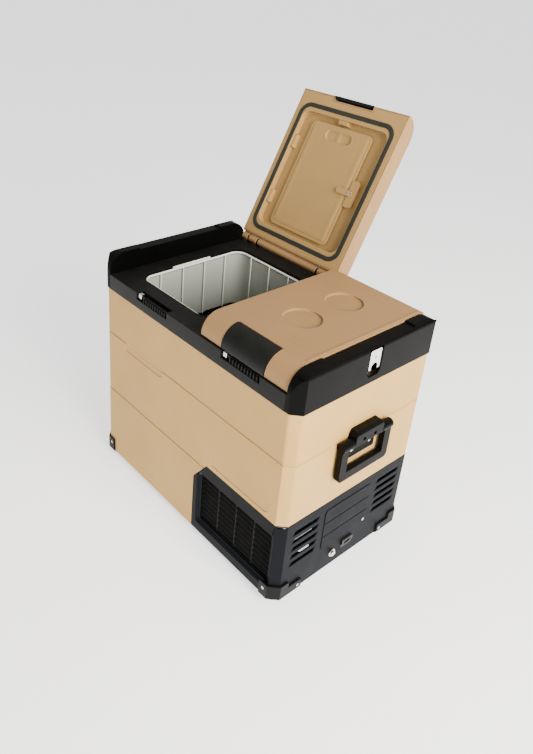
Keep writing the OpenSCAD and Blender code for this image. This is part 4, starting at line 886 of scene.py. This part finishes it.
hinge_at = Vector((0, 0.190, 0.5065))
opened = Matrix.Rotation(math.radians(-117), 4, "X")
swung = Matrix.Translation(hinge_at) @ opened @ Matrix.Translation(-hinge_at)
seal_black = plastic("seal_black", (0.016, 0.018, 0.014), (0.024, 0.027, 0.021), 0.55, pit=0.0018,
                     depth=0.00008, rub=0.2, rubbed=(0.05, 0.055, 0.045), dust=0.08)
seal_ring, given = geo_tree("seal_ring", {
    "Centre": "Vector", "Width": "Float", "Depth": "Float", "Corner": "Float", "Seal Width": "Float",
    "Seal Height": "Float", "Joint At": "Float", "Material": "Material"})
line_w = calc(seal_ring, "SUBTRACT", given["Width"], given["Seal Width"])
line_d = calc(seal_ring, "SUBTRACT", given["Depth"], given["Seal Width"])
path = rectangle(seal_ring, line_w, line_d, given["Corner"], 16)
section = rectangle(seal_ring, given["Seal Width"], given["Seal Height"],
                    calc(seal_ring, "MULTIPLY", given["Seal Height"], 0.42), 6)
weld_path = straight(seal_ring, (-0.0012, 0, 0), (0.0012, 0, 0))
weld = moved(seal_ring, sweep(seal_ring, weld_path, moved(seal_ring, section, Scale=(1.04, 1.08, 1.0))),
             Translation=point(seal_ring, X=given["Joint At"], Y=calc(seal_ring, "MULTIPLY", line_d, 0.5)))
geo_finish(seal_ring, [sweep(seal_ring, path, section), weld], given["Material"], Translation=given["Centre"])
for side, middle, wide, turned in (("left", -0.118, 0.279, swung), ("right", 0.156, 0.203, Matrix())):
    gasket = grown_by("seal_" + side, seal_ring, {
        "Centre": (middle, 0, 0.4976), "Width": wide, "Depth": 0.323, "Corner": 0.025, "Seal Width": 0.010,
        "Seal Height": 0.0025, "Joint At": 0.003, "Material": seal_black})
    gasket.data.transform(turned)
    mount(gasket, "lid_" + side, "rubber", "lid_gasket_" + side)


# ------------------------------------------------------------------ storage door and turn latch
# A thin tan panel closes the tray in the open lid; a raised field and a double bead stiffen it,
# and an oval dish gives a finger hold. A tab turns on one bright screw to lock it.

door_x, door_y, door_top = (-0.213, -0.032), (-0.127, 0.134), 0.506
door_thick, door_corner = 0.003, 0.014
mid_x, mid_y = sum(door_x) / 2, sum(door_y) / 2
flat_x = (door_x[1] - door_x[0]) / 2 - door_corner
flat_y = (door_y[1] - door_y[0]) / 2 - door_corner
door_shape = bmesh.new()
cells = 150, 200
grid = []
for back in (0, 1):
    for i in range(cells[0] + 1):
        for j in range(cells[1] + 1):
            u, v = i / cells[0], j / cells[1]
            x = door_x[0] + u * (door_x[1] - door_x[0])
            y = door_y[0] + v * (door_y[1] - door_y[0])
            past_x, past_y = abs(x - mid_x) - flat_x, abs(y - mid_y) - flat_y
            inner = max(past_x, past_y)
            away = math.hypot(max(0.0, past_x), max(0.0, past_y))
            depth = door_corner - (away if inner > 0 else inner)
            if depth < 0:
                pull = door_corner / away
                cx = min(max(x, door_x[0] + door_corner), door_x[1] - door_corner)
                cy = min(max(y, door_y[0] + door_corner), door_y[1] - door_corner)
                x, y, depth = cx + (x - cx) * pull, cy + (y - cy) * pull, 0.0
            if back:
                grid.append(door_shape.verts.new((x, y, door_top + door_thick)))
                continue
            lift = 0.0012 * min(1.0, max(0.0, (depth - 0.0075) / 0.0016))
            for bead in (0.0135, 0.0175):
                lift += 0.0007 * math.exp(-((depth - bead) / 0.0009) ** 2)
            lift -= 0.0006 * math.exp(-(depth / 0.0008) ** 2)
            ox, oy = x - mid_x, y - (door_y[0] + 0.024)
            oval = math.hypot(max(0.0, abs(ox) - 0.026), oy) - 0.012
            dish = min(1.0, max(0.0, -oval / 0.0026))
            lift -= 0.0034 * dish * dish * (3 - 2 * dish) * (1 - 0.45 * math.exp(-(ox / 0.007) ** 2))
            lift += 0.0005 * math.exp(-((oval - 0.002) / 0.0011) ** 2)
            grid.append(door_shape.verts.new((x, y, door_top - lift)))
across = cells[1] + 1
sheet = (cells[0] + 1) * across
for i in range(cells[0]):
    for j in range(cells[1]):
        a = i * across + j
        door_shape.faces.new([grid[k] for k in (a, a + 1, a + across + 1, a + across)])
        door_shape.faces.new([grid[sheet + k] for k in (a, a + across, a + across + 1, a + 1)])
edge_loop = sheet_border(*cells)
for a, b in zip(edge_loop, edge_loop[1:] + edge_loop[:1]):
    door_shape.faces.new([grid[b], grid[a], grid[sheet + a], grid[sheet + b]])
bmesh.ops.remove_doubles(door_shape, verts=door_shape.verts, dist=2e-5)
bmesh.ops.dissolve_degenerate(door_shape, edges=door_shape.edges, dist=2e-5)
bmesh.ops.recalc_face_normals(door_shape, faces=door_shape.faces)
door_shape.transform(swung)
door_mesh = bpy.data.meshes.new("tray_door")
door_shape.to_mesh(door_mesh)
door_shape.free()
door_mesh.materials.append(inner_tan)
mount(smoothed(linked("tray_door", door_mesh), 50), "lid_left", "tan_lid", "storage_door")

cast("door_tab", "turn_latch", inner_tan, "turn_tab", "tan_lid", 0.0009, steps=3)
tab_face = swung.to_3x3() @ Vector((0, 0, -1))
tab_screw = swung @ Vector((-0.026, 0.006, 0.5000))
mount(screws("tab_screw", [(tab_screw, tab_face, 0.0042)], bright_zinc), "lid_left", "steel", "turn_latch_screw")


# ------------------------------------------------------------------ latches
# Curved black paddles with a coarse grain, sprung on a steel pin in each lid's rounded front.
# A bar moulded across the inside hooks under the striker rod.

paddle_black = plastic("paddle_black", (0.0045, 0.0050, 0.0046), (0.0070, 0.0078, 0.0070), 0.42, pit=0.0017,
                       depth=0.00020, rub=0.6, rubbed=(0.05, 0.054, 0.052), dust=0.02, level=0.14)
for side in ("left", "right"):
    cast("paddle_" + side, "latch_paddle_" + side, paddle_black, "latch_" + side, "black_plastic", 0.0010,
         steps=3)
    cast("latch_axle_" + side, "latch_pin_" + side, turned_steel, "lid_" + side, "steel", 0.0004)


# ------------------------------------------------------------------ compressor
# A welded steel can in black baked enamel, hung on soft rubber bushes.
# It stands in the back corner of the bay, behind the grilles.

enamel = plastic("black_enamel", (0.010, 0.010, 0.011), (0.014, 0.014, 0.015), 0.2, pit=0.006, depth=0.00008,
                 rub=0.3, rubbed=(0.20, 0.19, 0.18), dust=0.2, coat=0.6)
cast("can", "compressor", enamel, "cabinet", "black_enamel", 0.0015)
cast("bushes", "compressor_mounts", foot_rubber, "cabinet", "rubber", 0.0010)


# ------------------------------------------------------------------ condenser
# A block of thin aluminium fins pressed on tubes, in front of the fan.

fin_metal = metal("fin_aluminium", (0.70, 0.71, 0.72), (0.45, 0.45, 0.45), 0.35, 0.4)
cast("fins", "condenser", fin_metal, "cabinet", "aluminium", 0.0003, steps=1)


# ------------------------------------------------------------------ fan
# A square black shroud holds the motor; seven swept blades turn in its ring.

cast("fan_ring", "fan_shroud", black_grain, "cabinet", "black_plastic", 0.0008)
cast("fan_can", "fan_motor", painted_grey, "cabinet", "slate_plastic", 0.0008)
cast("blades", "fan_impeller", slate, "fan", "slate_plastic", 0.0005)


# ------------------------------------------------------------------ control board
# A green glass-epoxy board with its parts, on posts behind the hatch.

board_green = plastic("board_green", (0.012, 0.085, 0.032), (0.018, 0.110, 0.042), 0.35, pit=0.0008, depth=0.00005,
                      rub=0.5, rubbed=(0.30, 0.26, 0.10), dust=0.1, coat=0.3)
cast("board", "control_board", board_green, "cabinet", "green_board", 0.0003)
